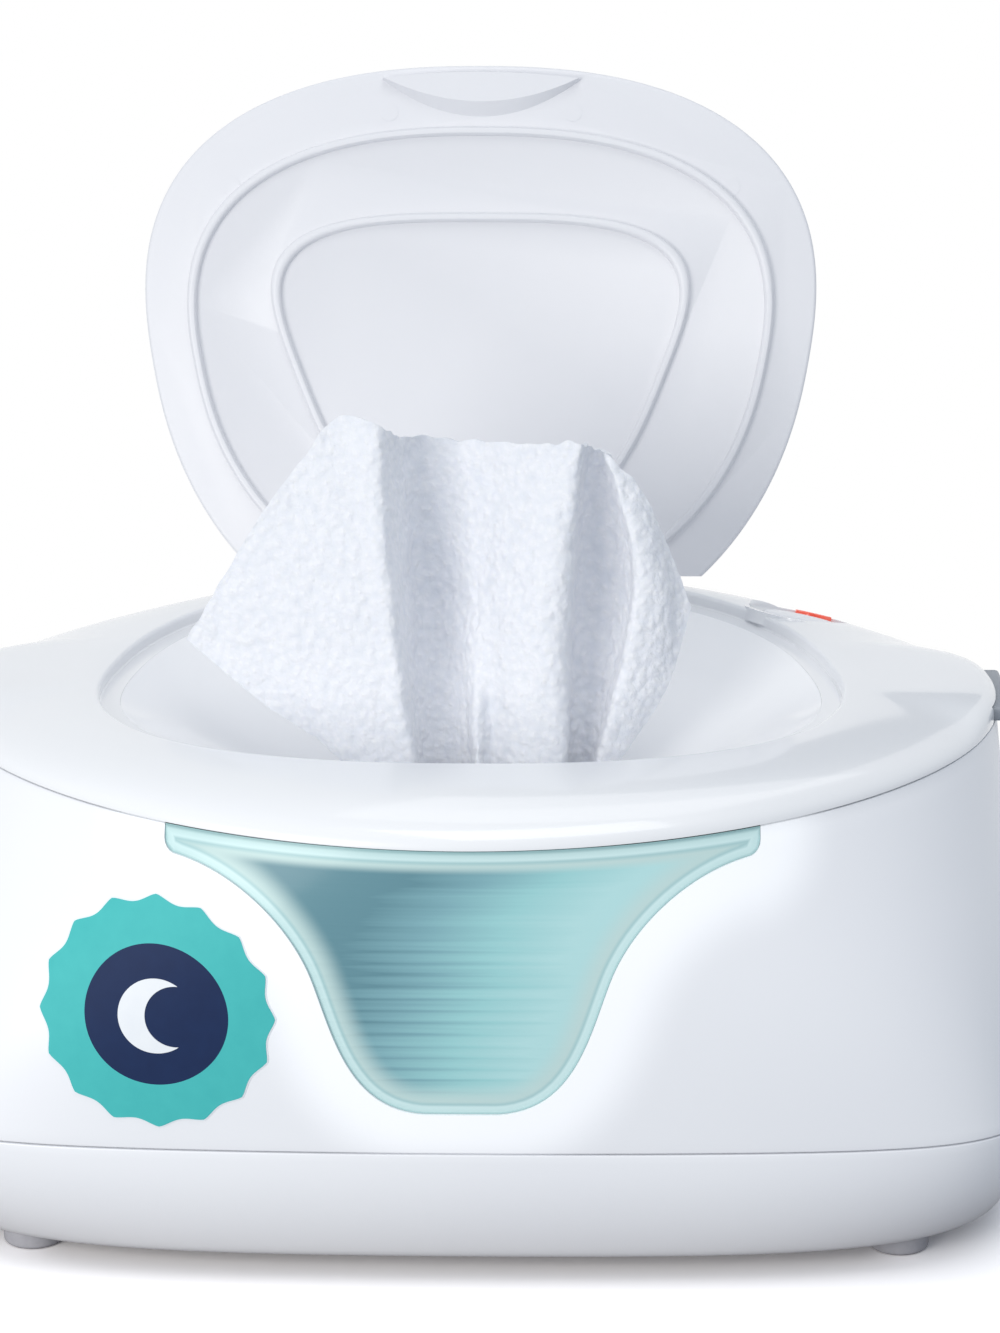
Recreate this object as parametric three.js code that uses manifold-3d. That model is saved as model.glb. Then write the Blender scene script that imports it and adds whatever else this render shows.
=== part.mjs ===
// Baby wipe warmer with a flip lid, a hinged refill cover and a night-light window.
// Millimetres, +Z up, the front faces -Y and x = 0 is the plane of symmetry.
// At rest the flip lid stands open and the refill cover is shut.
import * as THREE from "three";
import { mergeVertices } from "three/addons/utils/BufferGeometryUtils.js";
import Module from "manifold-3d";

const wasm = await Module();
wasm.setup();
const { lerp, degToRad } = THREE.MathUtils;

// Clearances and facets
const fitGap = 0.3; // between pieces that touch
const runGap = 0.5; // round pieces that move
const cutOver = 4; // overrun of a cutting tool
const smallest = 0.05; // details below this are simplified away
const ringCount = 36; // points round the casing, the cover and the lid
const tubCount = 30; // points round the tub, the seal and the pads
const roundCount = 12; // facets of a small round piece
const screwCount = 6;
const arcCount = 6; // facets of an arc or a curve in an extruded outline
const gripCount = 24;
const dishCount = 32;

// Casing
const caseWidth = 258; // at the lower seam
const caseDepth = 195;
const topWidth = 248; // at the upper seam
const topDepth = 199;
const bottomWidth = 252; // at the underside
const bottomDepth = 177;
const undersideHeight = 5; // above the floor, on the feet
const lowerSeamHeight = 34;
const upperSeamHeight = 104; // at the front and the back
const seamRise = 5; // the upper seam climbs this much to each side
const seamGap = 0.5;
const caseWall = 2.4;
const bodyBulge = 1.2;
const bottomEdge = 2; // rounding of the base tray's lower edge
const bottomPower = 4; // superellipse powers of the three outlines
const lowPower = 8;
const topPower = 1.95;
const flarePower = 2.2; // how early the base tray reaches its full width
const frontBowShare = 0.06; // the long sides bow out by this share of the depth
const fillShares = [0, 0.25, 0.5, 0.75, 0.95]; // levels between the two seams
const wallShares = [0.22, 0.45, 0.68, 0.88];
const cornerShare = 0.12; // how far the points of an outline crowd towards its corners

// Base tray
const floorThickness = 2.4;
const footRadius = 7;
const footInset = 30.5; // from the lower seam to the centres of the feet and of the screws above them
const footX = caseWidth / 2 - footInset;
const footY = caseDepth / 2 - footInset;
const footSink = 1.4; // depth of the foot's recess
const footChamfer = 0.8;
const postRadius = 5.5; // screw posts of tray and body
const postJoint = 20; // height where the tray's posts meet the body's
const bodyPostTop = 46;
const lipDrop = 3; // the body's inner lip reaches this far into the tray
const lipThickness = 1.6;
const postWeb = 2.4;
const webLength = 40;
const ribThickness = 2;
const ribX = 50; // cradle ribs under the heater stack
const ribY = 35;
const ribLength = 150;

// Screws
const screwRadius = 1.5;
const screwHeadRadius = 3;
const screwHeadHeight = 2.2;
const baseScrewLength = 16;
const baseScrewSeat = 11.5; // height of the seat inside the tray's post
const smallScrewRadius = 1.2;
const smallHeadRadius = 2.2;
const smallHeadHeight = 1.5;
const socketShare = 0.8; // of the screw's radius

// Heater stack, from the cradle ribs up to the tub
const insulationWidth = 116;
const insulationDepth = 92;
const insulationThickness = 4.6;
const padWidth = 108;
const padDepth = 84;
const padThickness = 1.2;
const plateWidth = 160;
const plateDepth = 98;
const plateThickness = 2;
const plateCorner = 12;
const thermostatRadius = 7;
const thermostatHeight = 4.5;
const thermostatCap = 4.9; // radius of the cap under the can
const thermostatStep = 1.3;
const thermostatX = 69;
const fuseRadius = 1.8;
const fuseLength = 16;
const fuseClip = 5.4;

// Wipe tub
const tubMarginX = 25; // from the casing's top outline to the tub's mouth
const tubMarginY = 36.5;
const tubWidth = topWidth - 2 * tubMarginX;
const tubDepth = topDepth - 2 * tubMarginY;
const tubDraft = 4; // narrower at the floor by this much a side
const tubFloorHeight = 28.2;
const tubWall = 1.8;
const tubPower = 5;
const ledgeDrop = 4.5; // the body's ledge that carries the tub, below the upper seam
const ledgeHeight = upperSeamHeight - ledgeDrop;
const ledgeWidth = 3;
const ledgeSlope = 4.8; // height of its sloping underside
const flangeThickness = 1.6;
const tubFoot = 6; // rounding round the tub floor

// Wipe stack, a soft pad of folded wipes
const stackRoom = 11; // from the tub's mouth
const stackWidth = tubWidth - 2 * stackRoom;
const stackDepth = tubDepth - 2 * stackRoom;
const stackHeadroom = 23.2; // from the ledge down to the top of the wipes
const stackHeight = ledgeHeight - stackHeadroom - tubFloorHeight - tubWall - fitGap;
const stackCrown = 3;
const stackLayers = 5;
const stackGroove = 0.8;
const layerFlat = 4.4; // height of a layer's flat side
const stackShoulder = 9; // width of the rounded shoulder on top

// Control board, power inlet and night light
const boardThickness = 1.6;
const boardWidth = 74;
const boardDepth = 30;
const boardX = -14;
const boardY = 64;
const boardHeight = 13;
const standoffRadius = 3;
const boardMargin = 4; // from the board's edge to its standoffs
const relayWidth = 18;
const relayDepth = 14;
const relayHeight = 8;
const relayX = 15; // from the board's centre
const relayY = 4;
const capRadius = 4;
const capHeight = 7;
const capX = -19;
const capPitch = 10;
const inletX = 52;
const inletHeight = 18; // its axis
const inletRadius = 5.4;
const inletBore = 3.2;
const inletPin = 1;
const inletBlock = 13;
const inletDepth = 14; // of the block behind the wall
const inletBoreDepth = 9;
const lightBoardWidth = 44;
const lightBoardTall = 12;
const lightBoardBack = 21; // behind the front of the casing
const lightBoardRise = 4; // above the lower seam
const lightBoardBase = lowerSeamHeight + lightBoardRise;
const ledSize = 3.6;
const ledPitch = 14;
const lightPost = 4;

// Window: half outline from the shoulder to the waist to the cup
const windowTopWidth = 129;
const shoulderDrop = 4.4; // the two upper corners, below the upper seam
const windowCorner = 3;
const windowWaistWidth = 65.6;
const waistDrop = 27.7; // the waist, below the upper seam
const windowFlatWidth = 16;
const windowSill = 9.5; // the window's lower edge, above the lower seam
const windowShoulder = upperSeamHeight - shoulderDrop;
const windowWaistHeight = upperSeamHeight - waistDrop;
const windowBottom = lowerSeamHeight + windowSill;
const flareShares = [0.46, 0.09, 0.83, 0.5]; // control points from shoulder to waist
const cupShares = [0.19, 0.36, 0.29, 0.97]; // control points from waist to flat
const lensThickness = 2;
const lensDepth = 4; // with its rim
const lensLip = 2.5; // flange behind the body wall
const diffuserThickness = 1.6;
const diffuserRib = 1;
const diffuserPitch = 5;

// Recess and flip lid
const rimRise = 10; // the recess rim's front, above the upper seam
const rimFrontHeight = upperSeamHeight + rimRise;
const recessTilt = 1.65; // degrees, the back of the recess is higher
const lidHalfWidth = 84;
const lidHalfLength = 75.5;
const lidCentre = 10; // y of the lid outline's centre when shut
const lidPower = 2.38;
const lidTaperShare = 0.157;
const lidGap = 1; // round the shut lid
const lidThickness = 2.6;
const lidEdge = 0.7;
const lidAxisY = 72;
const lidBarrelRadius = 3.5;
const lidBarrelLength = 86;
const lidLean = 16; // degrees past upright, where it rests open
const lidPinRadius = 1.2;
const lidPinLength = 11;
const lidEar = 3.2; // wall that holds the lid pin
const ribHeight = 1.6;
const ribTop = 1.1; // width of a raised rib at its crest
const ribFoot = 1.9;
const outerRibHalfWidth = 72;
const outerRibHalfLength = 59.5;
const outerRibBack = 0.9; // the outer rib sits this far back of the outline's centre
const outerRibTaperShare = 0.163;
const outerRibPower = 2.4;
const innerRibHalfWidth = 46.3;
const innerRibHalfLength = 40.2;
const innerRibBack = 3.7; // the inner rib sits this far back of the outline's centre
const innerRibTaperShare = 0.34;
const innerRibPower = 3.18;
const gripWidth = 51; // crescent grip by the free edge
const gripDepth = 9.5;
const gripSag = 2.2;
const gripInset = 3.6; // from the lid's free edge
const gripHeight = 2.1;
const gripScoop = 2.6;
const gripWall = 1.6;

// Cover
const stepDepth = 3; // the recess step, a little deeper than the lid
const rimEdge = 0.9;
const ledge = 7; // flat ledge inside the step
const ledgeThickness = 2;
const crownAngles = [10, 24, 40, 57, 75]; // degrees along the quarter-ellipse crown
const innerAngles = [12, 36, 62];
const stepBacking = 2.2; // wall behind the recess step
const pocketFloor = 2;
const coverPostRadius = 3.6;
const postFrontX = 60;
const postFrontInset = 23.5;
const postSideY = 26;
const postSideInset = 16;
const coverPosts = [
  [postFrontX, postFrontInset - topDepth / 2],
  [topWidth / 2 - postSideInset, postSideY],
];
const coverScrewBite = 5;

// Dispenser bowl
const bowlDepth = 20;
const bowlWall = 1.9;
const bowlSteps = 5;
const bowlFlange = 4.8; // under the ledge
const bowlFlangeThickness = 1.6;
const bowlEdge = 0.7;
const slotWidth = 66;
const slotDepth = 21;
const slotY = -15;
const slotPower = 2.6;
const slotLip = 3;

// Liner, seal
const linerInset = 4;
const linerThickness = 1.6;
const linerOpening = 1.2; // round the bowl
const sealWidth = 3.4;
const sealHeight = 2.3;
const sealOut = 2.5; // from the tub's mouth

// Cover hinge
const hingeOut = 4.8; // axis behind the back of the casing
const hingeRadius = 4;
const hingeHalf = 34;
const hingeMiddle = 43.4; // length of the cover's knuckle
const hingePinRadius = 1.5;
const hingeArm = 9; // height of the knuckle arms on the wall
const hingeArmReach = 11; // from the axis into the wall

// Side latches
const latchLength = 34;
const latchTall = 3.3;
const latchOut = 2.6; // the button stands this far out of the seam
const latchDepth = 8.5;
const latchTravel = 2;
const roomReach = 16; // how far the latch's opening runs into the cover
const swellHalf = 25; // the cover's crown is fuller over the latch, this far to each side
const swellPower = 6;
const hookWidth = 14;
const hookThickness = 2;
const hookBarb = 1.6;
const hookDrop = 6.4; // the hook's tip below the seam
const hookBack = 5.4; // from the seam to the hook's outer face
const catchTall = 1.6;

// Power button
const buttonBearing = 29.4; // degrees round the cover
const buttonCrown = 58; // degrees along the crown
const dishRadius = 13.2;
const dishDepth = 2.4;
const buttonRadius = 9.3;
const buttonFlat = 5.6; // radius of its flat top
const buttonTravel = 0.7;
const buttonProud = 1.4; // above the dish floor
const buttonSkirt = 1.8; // below the dish floor
const buttonStem = 3;
const stemLength = 0.6;
const dishBacking = 2; // thickness under the dish
const backingRadius = 14.6;
const arcInner = 10.3; // red indicator
const arcOuter = 12.5;
const arcHalfAngle = 23;
const arcBearing = 55; // degrees from the outward direction
const arcProud = 0.5;
const switchBoardWidth = 24;
const switchBoardDepth = 13;
const switchBoardBack = 2; // towards the recess from under the button
const switchPost = 1.3;

// Wipe, standing out of the slot
const wipeSpread = 121;
const wipeRise = 88;
const wipeFold = 30; // depth of its folds, front to back
const wipeThickness = 1.5;
const wipeAcross = 30;
const wipeAlong = 12;
// Each fold line from left to right: x and y at the slot, then x, y and z half way up and at the free edge,
// as shares of the spread, the fold depth and the rise.
const wipeFoldShares = [
  [-0.24, 0.07, -0.42, -0.23, 0.24, -0.575, 0.17, 0.41],
  [-0.2, -0.07, -0.36, -0.17, 0.42, -0.43, 0.37, 0.7],
  [-0.14, 0.1, -0.23, 0.03, 0.56, -0.24, 0.5, 1.0],
  [-0.09, -0.1, -0.13, 0.73, 0.56, -0.12, 0.93, 0.99],
  [-0.02, 0.07, -0.01, 0.23, 0.48, -0.02, 0.63, 0.97],
  [0.05, -0.1, 0.09, 0.03, 0.5, 0.13, 0.5, 0.96],
  [0.12, 0.1, 0.2, 0.6, 0.48, 0.24, 0.8, 0.88],
  [0.18, -0.07, 0.28, 0.2, 0.42, 0.345, 0.53, 0.69],
  [0.23, 0.07, 0.33, 0.33, 0.26, 0.42, 0.63, 0.46],
];

// Wires inside the casing
const wireRadius = 1.1;
const wireSides = 6;
const wireSteps = 14;
const wireWayX = -30; // where the night light's lead crosses the cradle
const wireWay = 4.4; // width and height of its notches
const wireHeight = 13.8;
const lightLeadX = 9; // where it meets the night light's board
// Hand-chosen points of each lead, between its two ends.
const heaterLeadRoute = [
  [28, 62, 13.8],
  [57, 50, 15],
  [68, 37, 21],
  [69, 17.5, 23.35],
];
const fuseLeadRoute = [
  [-56, 62, 13.8],
  [-62, 50, 15],
  [-68, 37, 21],
  [-69, 17.5, 23.8],
];
const lightLeadRoute = [
  [-30, 45.7, 13.8],
  [-30, 40, 11.7],
  [-30, 35, 9.6],
  [-30, -35, 9.6],
  [-30, -59, 9.6],
  [-15.5, -72, 19],
  [-9, -76.5, 31.4],
];

const halfPi = Math.PI / 2;
const tilt = degToRad(recessTilt);
const materials = {
  white: { color: 0xf1f2f6, roughness: 0.22 },
  lidWhite: { color: 0xe4e8f2, roughness: 0.42 },
  inner: { color: 0xe9ebf0, roughness: 0.5 },
  teal: { color: 0x8fd0cd, roughness: 0.15 },
  milky: { color: 0xd8efec, roughness: 0.4 },
  grey: { color: 0x8d949c, roughness: 0.5 },
  red: { color: 0xe0523f, roughness: 0.3 },
  rubber: { color: 0xc9cbd0, roughness: 0.8 },
  silicone: { color: 0xd9dde0, roughness: 0.7 },
  wetCloth: { color: 0xeef1f8, roughness: 0.9 },
  felt: { color: 0xb9b4a8, roughness: 1 },
  aluminium: { color: 0xb8babd, roughness: 0.4, metalness: 1 },
  steel: { color: 0x9a9da1, roughness: 0.3, metalness: 1 },
  pcb: { color: 0x2f6b45, roughness: 0.5 },
  black: { color: 0x24262a, roughness: 0.5 },
  heaterFilm: { color: 0xb5652c, roughness: 0.6 },
};

// Solids from rings of points, from shapes and from primitives

function signedVolume(positions, index) {
  let sum = 0;
  const a = new THREE.Vector3();
  const b = new THREE.Vector3();
  const c = new THREE.Vector3();
  for (let i = 0; i < index.length; i += 3) {
    a.fromArray(positions, 3 * index[i]);
    b.fromArray(positions, 3 * index[i + 1]);
    c.fromArray(positions, 3 * index[i + 2]);
    sum += a.dot(b.cross(c)) / 6;
  }
  return sum;
}

function solidOf(geometry) {
  const bare = geometry.index ? geometry.toNonIndexed() : geometry;
  const only = new THREE.BufferGeometry().setAttribute("position", bare.getAttribute("position"));
  const merged = mergeVertices(only);
  const vertProperties = merged.attributes.position.array;
  const triVerts = new Uint32Array(merged.index.array);
  if (signedVolume(vertProperties, triVerts) < 0) triVerts.reverse();
  return new wasm.Manifold(new wasm.Mesh({ numProp: 3, vertProperties, triVerts }));
}

// Rings of equal counts joined in order: closed makes a loop of them, otherwise both ends are capped.
function loft(rings, closed = false) {
  const count = rings[0].length;
  const positions = rings.flat().flatMap((point) => [point.x, point.y, point.z]);
  const index = [];
  const bands = closed ? rings.length : rings.length - 1;
  for (let r = 0; r < bands; r++) {
    const low = r * count;
    const high = ((r + 1) % rings.length) * count;
    for (let i = 0; i < count; i++) {
      const j = (i + 1) % count;
      index.push(low + i, low + j, high + j, low + i, high + j, high + i);
    }
  }
  const caps = closed ? [] : [rings[0], rings[rings.length - 1]];
  caps.forEach((ring, end) => {
    const centre = positions.length / 3;
    const middle = new THREE.Vector3();
    ring.forEach((point) => middle.addScaledVector(point, 1 / count));
    positions.push(middle.x, middle.y, middle.z);
    const first = end * (rings.length - 1) * count;
    for (let i = 0; i < count; i++) {
      const j = (i + 1) % count;
      const face = end ? [first + i, first + j, centre] : [first + j, first + i, centre];
      index.push(...face);
    }
  });
  const geometry = new THREE.BufferGeometry();
  geometry.setAttribute("position", new THREE.Float32BufferAttribute(positions, 3));
  geometry.setIndex(index);
  return solidOf(geometry);
}

function ringOf(count, pointAt) {
  return Array.from({ length: count }, (_, i) => pointAt((2 * Math.PI * i) / count));
}

function box(width, depth, height, x, y, z) {
  return solidOf(new THREE.BoxGeometry(width, depth, height).translate(x, y, z));
}

// A box given by its lowest and highest corners.
function block(low, high) {
  const size = high.map((value, i) => value - low[i]);
  const middle = high.map((value, i) => (value + low[i]) / 2);
  return box(...size, ...middle);
}

// An upright cylinder from one height to another.
function post(radius, x, y, bottom, top, count = roundCount) {
  const shape = new THREE.CylinderGeometry(radius, radius, top - bottom, count);
  return solidOf(shape.rotateX(halfPi).translate(x, y, (top + bottom) / 2));
}

function rodX(radius, from, to, y, z, count = roundCount) {
  const shape = new THREE.CylinderGeometry(radius, radius, to - from, count);
  return solidOf(shape.rotateZ(halfPi).translate((from + to) / 2, y, z));
}

function rodY(radius, from, to, x, z, count = roundCount) {
  const shape = new THREE.CylinderGeometry(radius, radius, to - from, count);
  return solidOf(shape.translate(x, (from + to) / 2, z));
}

function turned(profile, count = roundCount) {
  const points = profile.map(([radius, height]) => new THREE.Vector2(radius, height));
  return solidOf(new THREE.LatheGeometry(points, count).rotateX(halfPi));
}

function extruded(shape, depth) {
  return new THREE.ExtrudeGeometry(shape, { depth, bevelEnabled: false, curveSegments: arcCount });
}

function joined(first, ...rest) {
  return rest.reduce((sum, next) => sum.add(next), first);
}

function cut(first, ...rest) {
  return rest.reduce((sum, next) => sum.subtract(next), first);
}

const part = new THREE.Group();

function makeMesh(name, solid, finish) {
  const { vertProperties, triVerts } = solid.simplify(smallest).getMesh();
  const geometry = new THREE.BufferGeometry();
  geometry.setAttribute("position", new THREE.BufferAttribute(new Float32Array(vertProperties), 3));
  geometry.setIndex(new THREE.BufferAttribute(new Uint32Array(triVerts), 1));
  const mesh = new THREE.Mesh(geometry, new THREE.MeshStandardMaterial(materials[finish]));
  mesh.name = name;
  return mesh;
}

function addPiece(name, solid, finish, parent = part) {
  parent.add(makeMesh(name, solid, finish));
}

// Outlines of the casing

function sectionPoint(section, turn) {
  const angle = turn + cornerShare * Math.sin(4 * turn);
  const c = Math.cos(angle);
  const s = Math.sin(angle);
  const sum = Math.abs(c / section.a) ** section.n + Math.abs(s / section.b) ** section.n;
  const reach = sum ** (-1 / section.n);
  const x = reach * c;
  const bow = 1 - section.bow * (x / section.a) ** 2;
  return { x, y: reach * s * bow };
}

function bodySection(height, inset) {
  const climb = (height - lowerSeamHeight) / (upperSeamHeight - lowerSeamHeight);
  const t = Math.min(1, Math.max(0, climb));
  const bulge = bodyBulge * Math.sin(Math.PI * t);
  return {
    a: lerp(caseWidth, topWidth, t) / 2 + bulge - inset,
    b: lerp(caseDepth, topDepth, t) / 2 + bulge - inset,
    n: lowPower * (topPower / lowPower) ** t,
    bow: frontBowShare * (1 - t),
  };
}

function baseSection(height, inset) {
  const t = (height - undersideHeight) / (lowerSeamHeight - undersideHeight);
  const flare = 1 - (1 - t) ** flarePower;
  return {
    a: lerp(bottomWidth, caseWidth, flare) / 2 - inset,
    b: lerp(bottomDepth, caseDepth, flare) / 2 - inset,
    n: lerp(bottomPower, lowPower, t),
    bow: frontBowShare,
  };
}

function levelRing(sectionAt, height, inset, count = ringCount) {
  return ringOf(count, (angle) => {
    const { x, y } = sectionPoint(sectionAt(height, inset), angle);
    return new THREE.Vector3(x, y, height);
  });
}

const bodyRing = (height, inset) => levelRing(bodySection, height, inset);
const baseRing = (height, inset) => levelRing(baseSection, height, inset);

function seamHeightAt(x) {
  return upperSeamHeight + seamRise * (x / (topWidth / 2)) ** 2;
}

function seamPoint(angle, inset, lift) {
  const { x, y } = sectionPoint(bodySection(upperSeamHeight, inset), angle);
  return new THREE.Vector3(x, y, seamHeightAt(x) + lift);
}

const seamRing = (inset, lift) => ringOf(ringCount, (angle) => seamPoint(angle, inset, lift));

// The casing filled from the lower to the upper seam, its side drawn in by an inset.
function filledBody(inset, over = 0) {
  const span = upperSeamHeight - lowerSeamHeight;
  const levels = fillShares.map((share) => lowerSeamHeight + share * span);
  const rings = levels.map((z) => bodyRing(z, inset));
  return loft([...rings, seamRing(inset, -seamGap / 2), seamRing(inset, over - seamGap / 2 + smallest)]);
}

const bodyDepthLayer = (near, far) => filledBody(near).subtract(filledBody(far, cutOver));

// Base tray

const cornerSigns = [
  [-1, -1],
  [1, -1],
  [-1, 1],
  [1, 1],
];
const trayFloor = undersideHeight + floorThickness;
const footTop = undersideHeight + footSink;
const plateBase = tubFloorHeight - fitGap - plateThickness;
const padBase = plateBase - fitGap - padThickness;
const insulationBase = padBase - fitGap - insulationThickness;
const boardCorners = cornerSigns.map(([sx, sy]) => [
  boardX + sx * (boardWidth / 2 - boardMargin),
  boardY + sy * (boardDepth / 2 - boardMargin),
]);
const boardScrewPlaces = [boardCorners.at(0), boardCorners.at(-1)];
const inletWall = sectionPointAt(baseSection(inletHeight, 0), inletX);
const inletBlockWall = sectionPointAt(baseSection(inletHeight - inletBlock / 2, 0), inletX + inletBlock / 2);
const inletBack = inletBlockWall - caseWall - runGap - inletDepth;
const lightBoardY = lightBoardBack - caseDepth / 2;
const lightPostX = lightBoardWidth / 2 - lightPost;

// The outline's y, at the back, over a given x.
function sectionPointAt(section, x) {
  const share = 1 - Math.abs(x / section.a) ** section.n;
  return section.b * share ** (1 / section.n) * (1 - section.bow * (x / section.a) ** 2);
}

function baseTray() {
  const top = lowerSeamHeight - seamGap / 2;
  const middle = (lowerSeamHeight + undersideHeight) / 2;
  const shell = loft([
    baseRing(undersideHeight, bottomEdge),
    baseRing(undersideHeight + bottomEdge / 3, bottomEdge / 3),
    baseRing(undersideHeight + bottomEdge, 0),
    baseRing(middle, 0),
    baseRing(top, 0),
    baseRing(top, caseWall),
    baseRing(lowerSeamHeight + seamGap / 2 - lipDrop, caseWall),
    baseRing(middle, caseWall),
    baseRing(trayFloor + bottomEdge, caseWall),
    baseRing(trayFloor, caseWall + bottomEdge),
  ]);
  const posts = cornerSigns.map(([sx, sy]) =>
    post(postRadius, sx * footX, sy * footY, undersideHeight + floorThickness / 2, postJoint),
  );
  const ribLow = trayFloor - floorThickness / 2;
  const ribs = [-1, 1].flatMap((side) => [
    block(
      [-ribLength / 2, side * ribY - ribThickness / 2, ribLow],
      [ribLength / 2, side * ribY + ribThickness / 2, insulationBase - fitGap],
    ),
    block(
      [side * ribX - ribThickness / 2, -ribY, ribLow],
      [side * ribX + ribThickness / 2, ribY, insulationBase - fitGap],
    ),
  ]);
  const lights = [-1, 1].map((side) =>
    block(
      [side * lightPostX - lightPost / 2, lightBoardY - lightPost / 2, ribLow],
      [side * lightPostX + lightPost / 2, lightBoardY + lightPost / 2, lightBoardBase - fitGap],
    ),
  );
  const standoffs = boardCorners.map(([x, y]) => post(standoffRadius, x, y, ribLow, boardHeight - fitGap));
  const cradle = block(
    [inletX - inletBlock / 2, inletBack, ribLow],
    [inletX + inletBlock / 2, inletBack + inletDepth - fitGap, inletHeight - inletBlock / 2 - fitGap],
  );
  const cuts = cornerSigns.flatMap(([sx, sy]) => [
    post(footRadius + fitGap, sx * footX, sy * footY, undersideHeight - cutOver, footTop),
    post(screwHeadRadius + fitGap, sx * footX, sy * footY, undersideHeight, baseScrewSeat),
    post(screwRadius + fitGap, sx * footX, sy * footY, undersideHeight, postJoint + cutOver),
  ]);
  const inletHole = rodY(inletRadius + fitGap, inletBack, caseDepth / 2 + cutOver, inletX, inletHeight);
  const threads = boardScrewPlaces.map(([x, y]) =>
    post(smallScrewRadius + fitGap, x, y, trayFloor, boardHeight + cutOver),
  );
  const leadWay = block(
    [wireWayX - wireWay / 2, -ribY - cutOver, trayFloor],
    [wireWayX + wireWay / 2, ribY + cutOver, trayFloor + wireWay],
  );
  const solid = joined(shell, ...posts, ...ribs, ...lights, ...standoffs, cradle);
  return cut(solid, ...cuts, inletHole, leadWay, ...threads);
}

function foot() {
  const radius = footRadius;
  return turned([
    [0, 0],
    [radius - footChamfer, 0],
    [radius, footChamfer],
    [radius, footTop - fitGap],
    [0, footTop - fitGap],
  ]);
}

// A pan-headed screw pointing up from its head; z = 0 is the seat under the head.
function screw(radius, headRadius, headHeight, length) {
  const socket = radius * socketShare;
  return turned([
    [0, -headHeight / 2],
    [socket, -headHeight / 2],
    [socket, -headHeight],
    [headRadius, -headHeight],
    [headRadius, 0],
    [radius, 0],
    [radius, length - radius],
    [0, length],
  ], screwCount);
}

// Body shell with its window, tub ledge, latch catches and hinge arms

function windowSolid(grow, back) {
  const half = windowTopWidth / 2 + grow;
  const waist = windowWaistWidth / 2 + grow;
  const flat = windowFlatWidth / 2;
  const shoulder = windowShoulder - grow;
  const bottom = windowBottom - grow;
  const top = upperSeamHeight + seamRise + cutOver;
  const inner = half - windowCorner;
  const side = (sign) => {
    const at = (fromX, toX, fromZ, toZ, shares, i) => [
      sign * lerp(fromX, toX, shares[2 * i]),
      lerp(fromZ, toZ, shares[2 * i + 1]),
    ];
    const flare = [0, 1].flatMap((i) => at(inner, waist, shoulder, windowWaistHeight, flareShares, i));
    const cup = [0, 1].flatMap((i) => at(waist, flat, windowWaistHeight, bottom, cupShares, i));
    return { flare, cup };
  };
  const right = side(1);
  const left = side(-1);
  const shape = new THREE.Shape();
  shape.moveTo(half, top);
  shape.lineTo(-half, top);
  shape.lineTo(-half, shoulder + windowCorner);
  shape.quadraticCurveTo(-half, shoulder, -inner, shoulder);
  shape.bezierCurveTo(...left.flare, -waist, windowWaistHeight);
  shape.bezierCurveTo(...left.cup, -flat, bottom);
  shape.lineTo(flat, bottom);
  const cupBack = [right.cup[2], right.cup[3], right.cup[0], right.cup[1]];
  const flareBack = [right.flare[2], right.flare[3], right.flare[0], right.flare[1]];
  shape.bezierCurveTo(...cupBack, waist, windowWaistHeight);
  shape.bezierCurveTo(...flareBack, inner, shoulder);
  shape.quadraticCurveTo(half, shoulder, half, shoulder + windowCorner);
  const front = topDepth / 2 + bodyBulge + cutOver;
  return solidOf(extruded(shape, front - back).rotateX(halfPi).translate(0, -back, 0));
}

const windowBack = topDepth / 4;
const hingeY = topDepth / 2 + hingeOut;
const hingeZ = upperSeamHeight;

// A hinge knuckle with an arm that reaches the wall above (side 1) or below (side -1) the seam.
function knuckle(from, to, side) {
  const shape = new THREE.Shape();
  shape.moveTo(0, side * hingeRadius);
  shape.lineTo(-hingeArmReach, side * (hingeRadius + hingeArm / 2));
  shape.lineTo(-hingeArmReach, side * seamGap * 2);
  shape.lineTo(0, side * seamGap * 2);
  const arm = extruded(shape, to - from).rotateX(halfPi).rotateZ(halfPi).translate(from, hingeY, hingeZ);
  return joined(rodX(hingeRadius, from, to, hingeY, hingeZ), solidOf(arm));
}

const hingeBore = rodX(hingePinRadius + fitGap, -hingeHalf - cutOver, hingeHalf + cutOver, hingeY, hingeZ);
const seamSideX = topWidth / 2;
const seamSideZ = upperSeamHeight + seamRise;
const catchInner = seamSideX - hookBack + fitGap;

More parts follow.
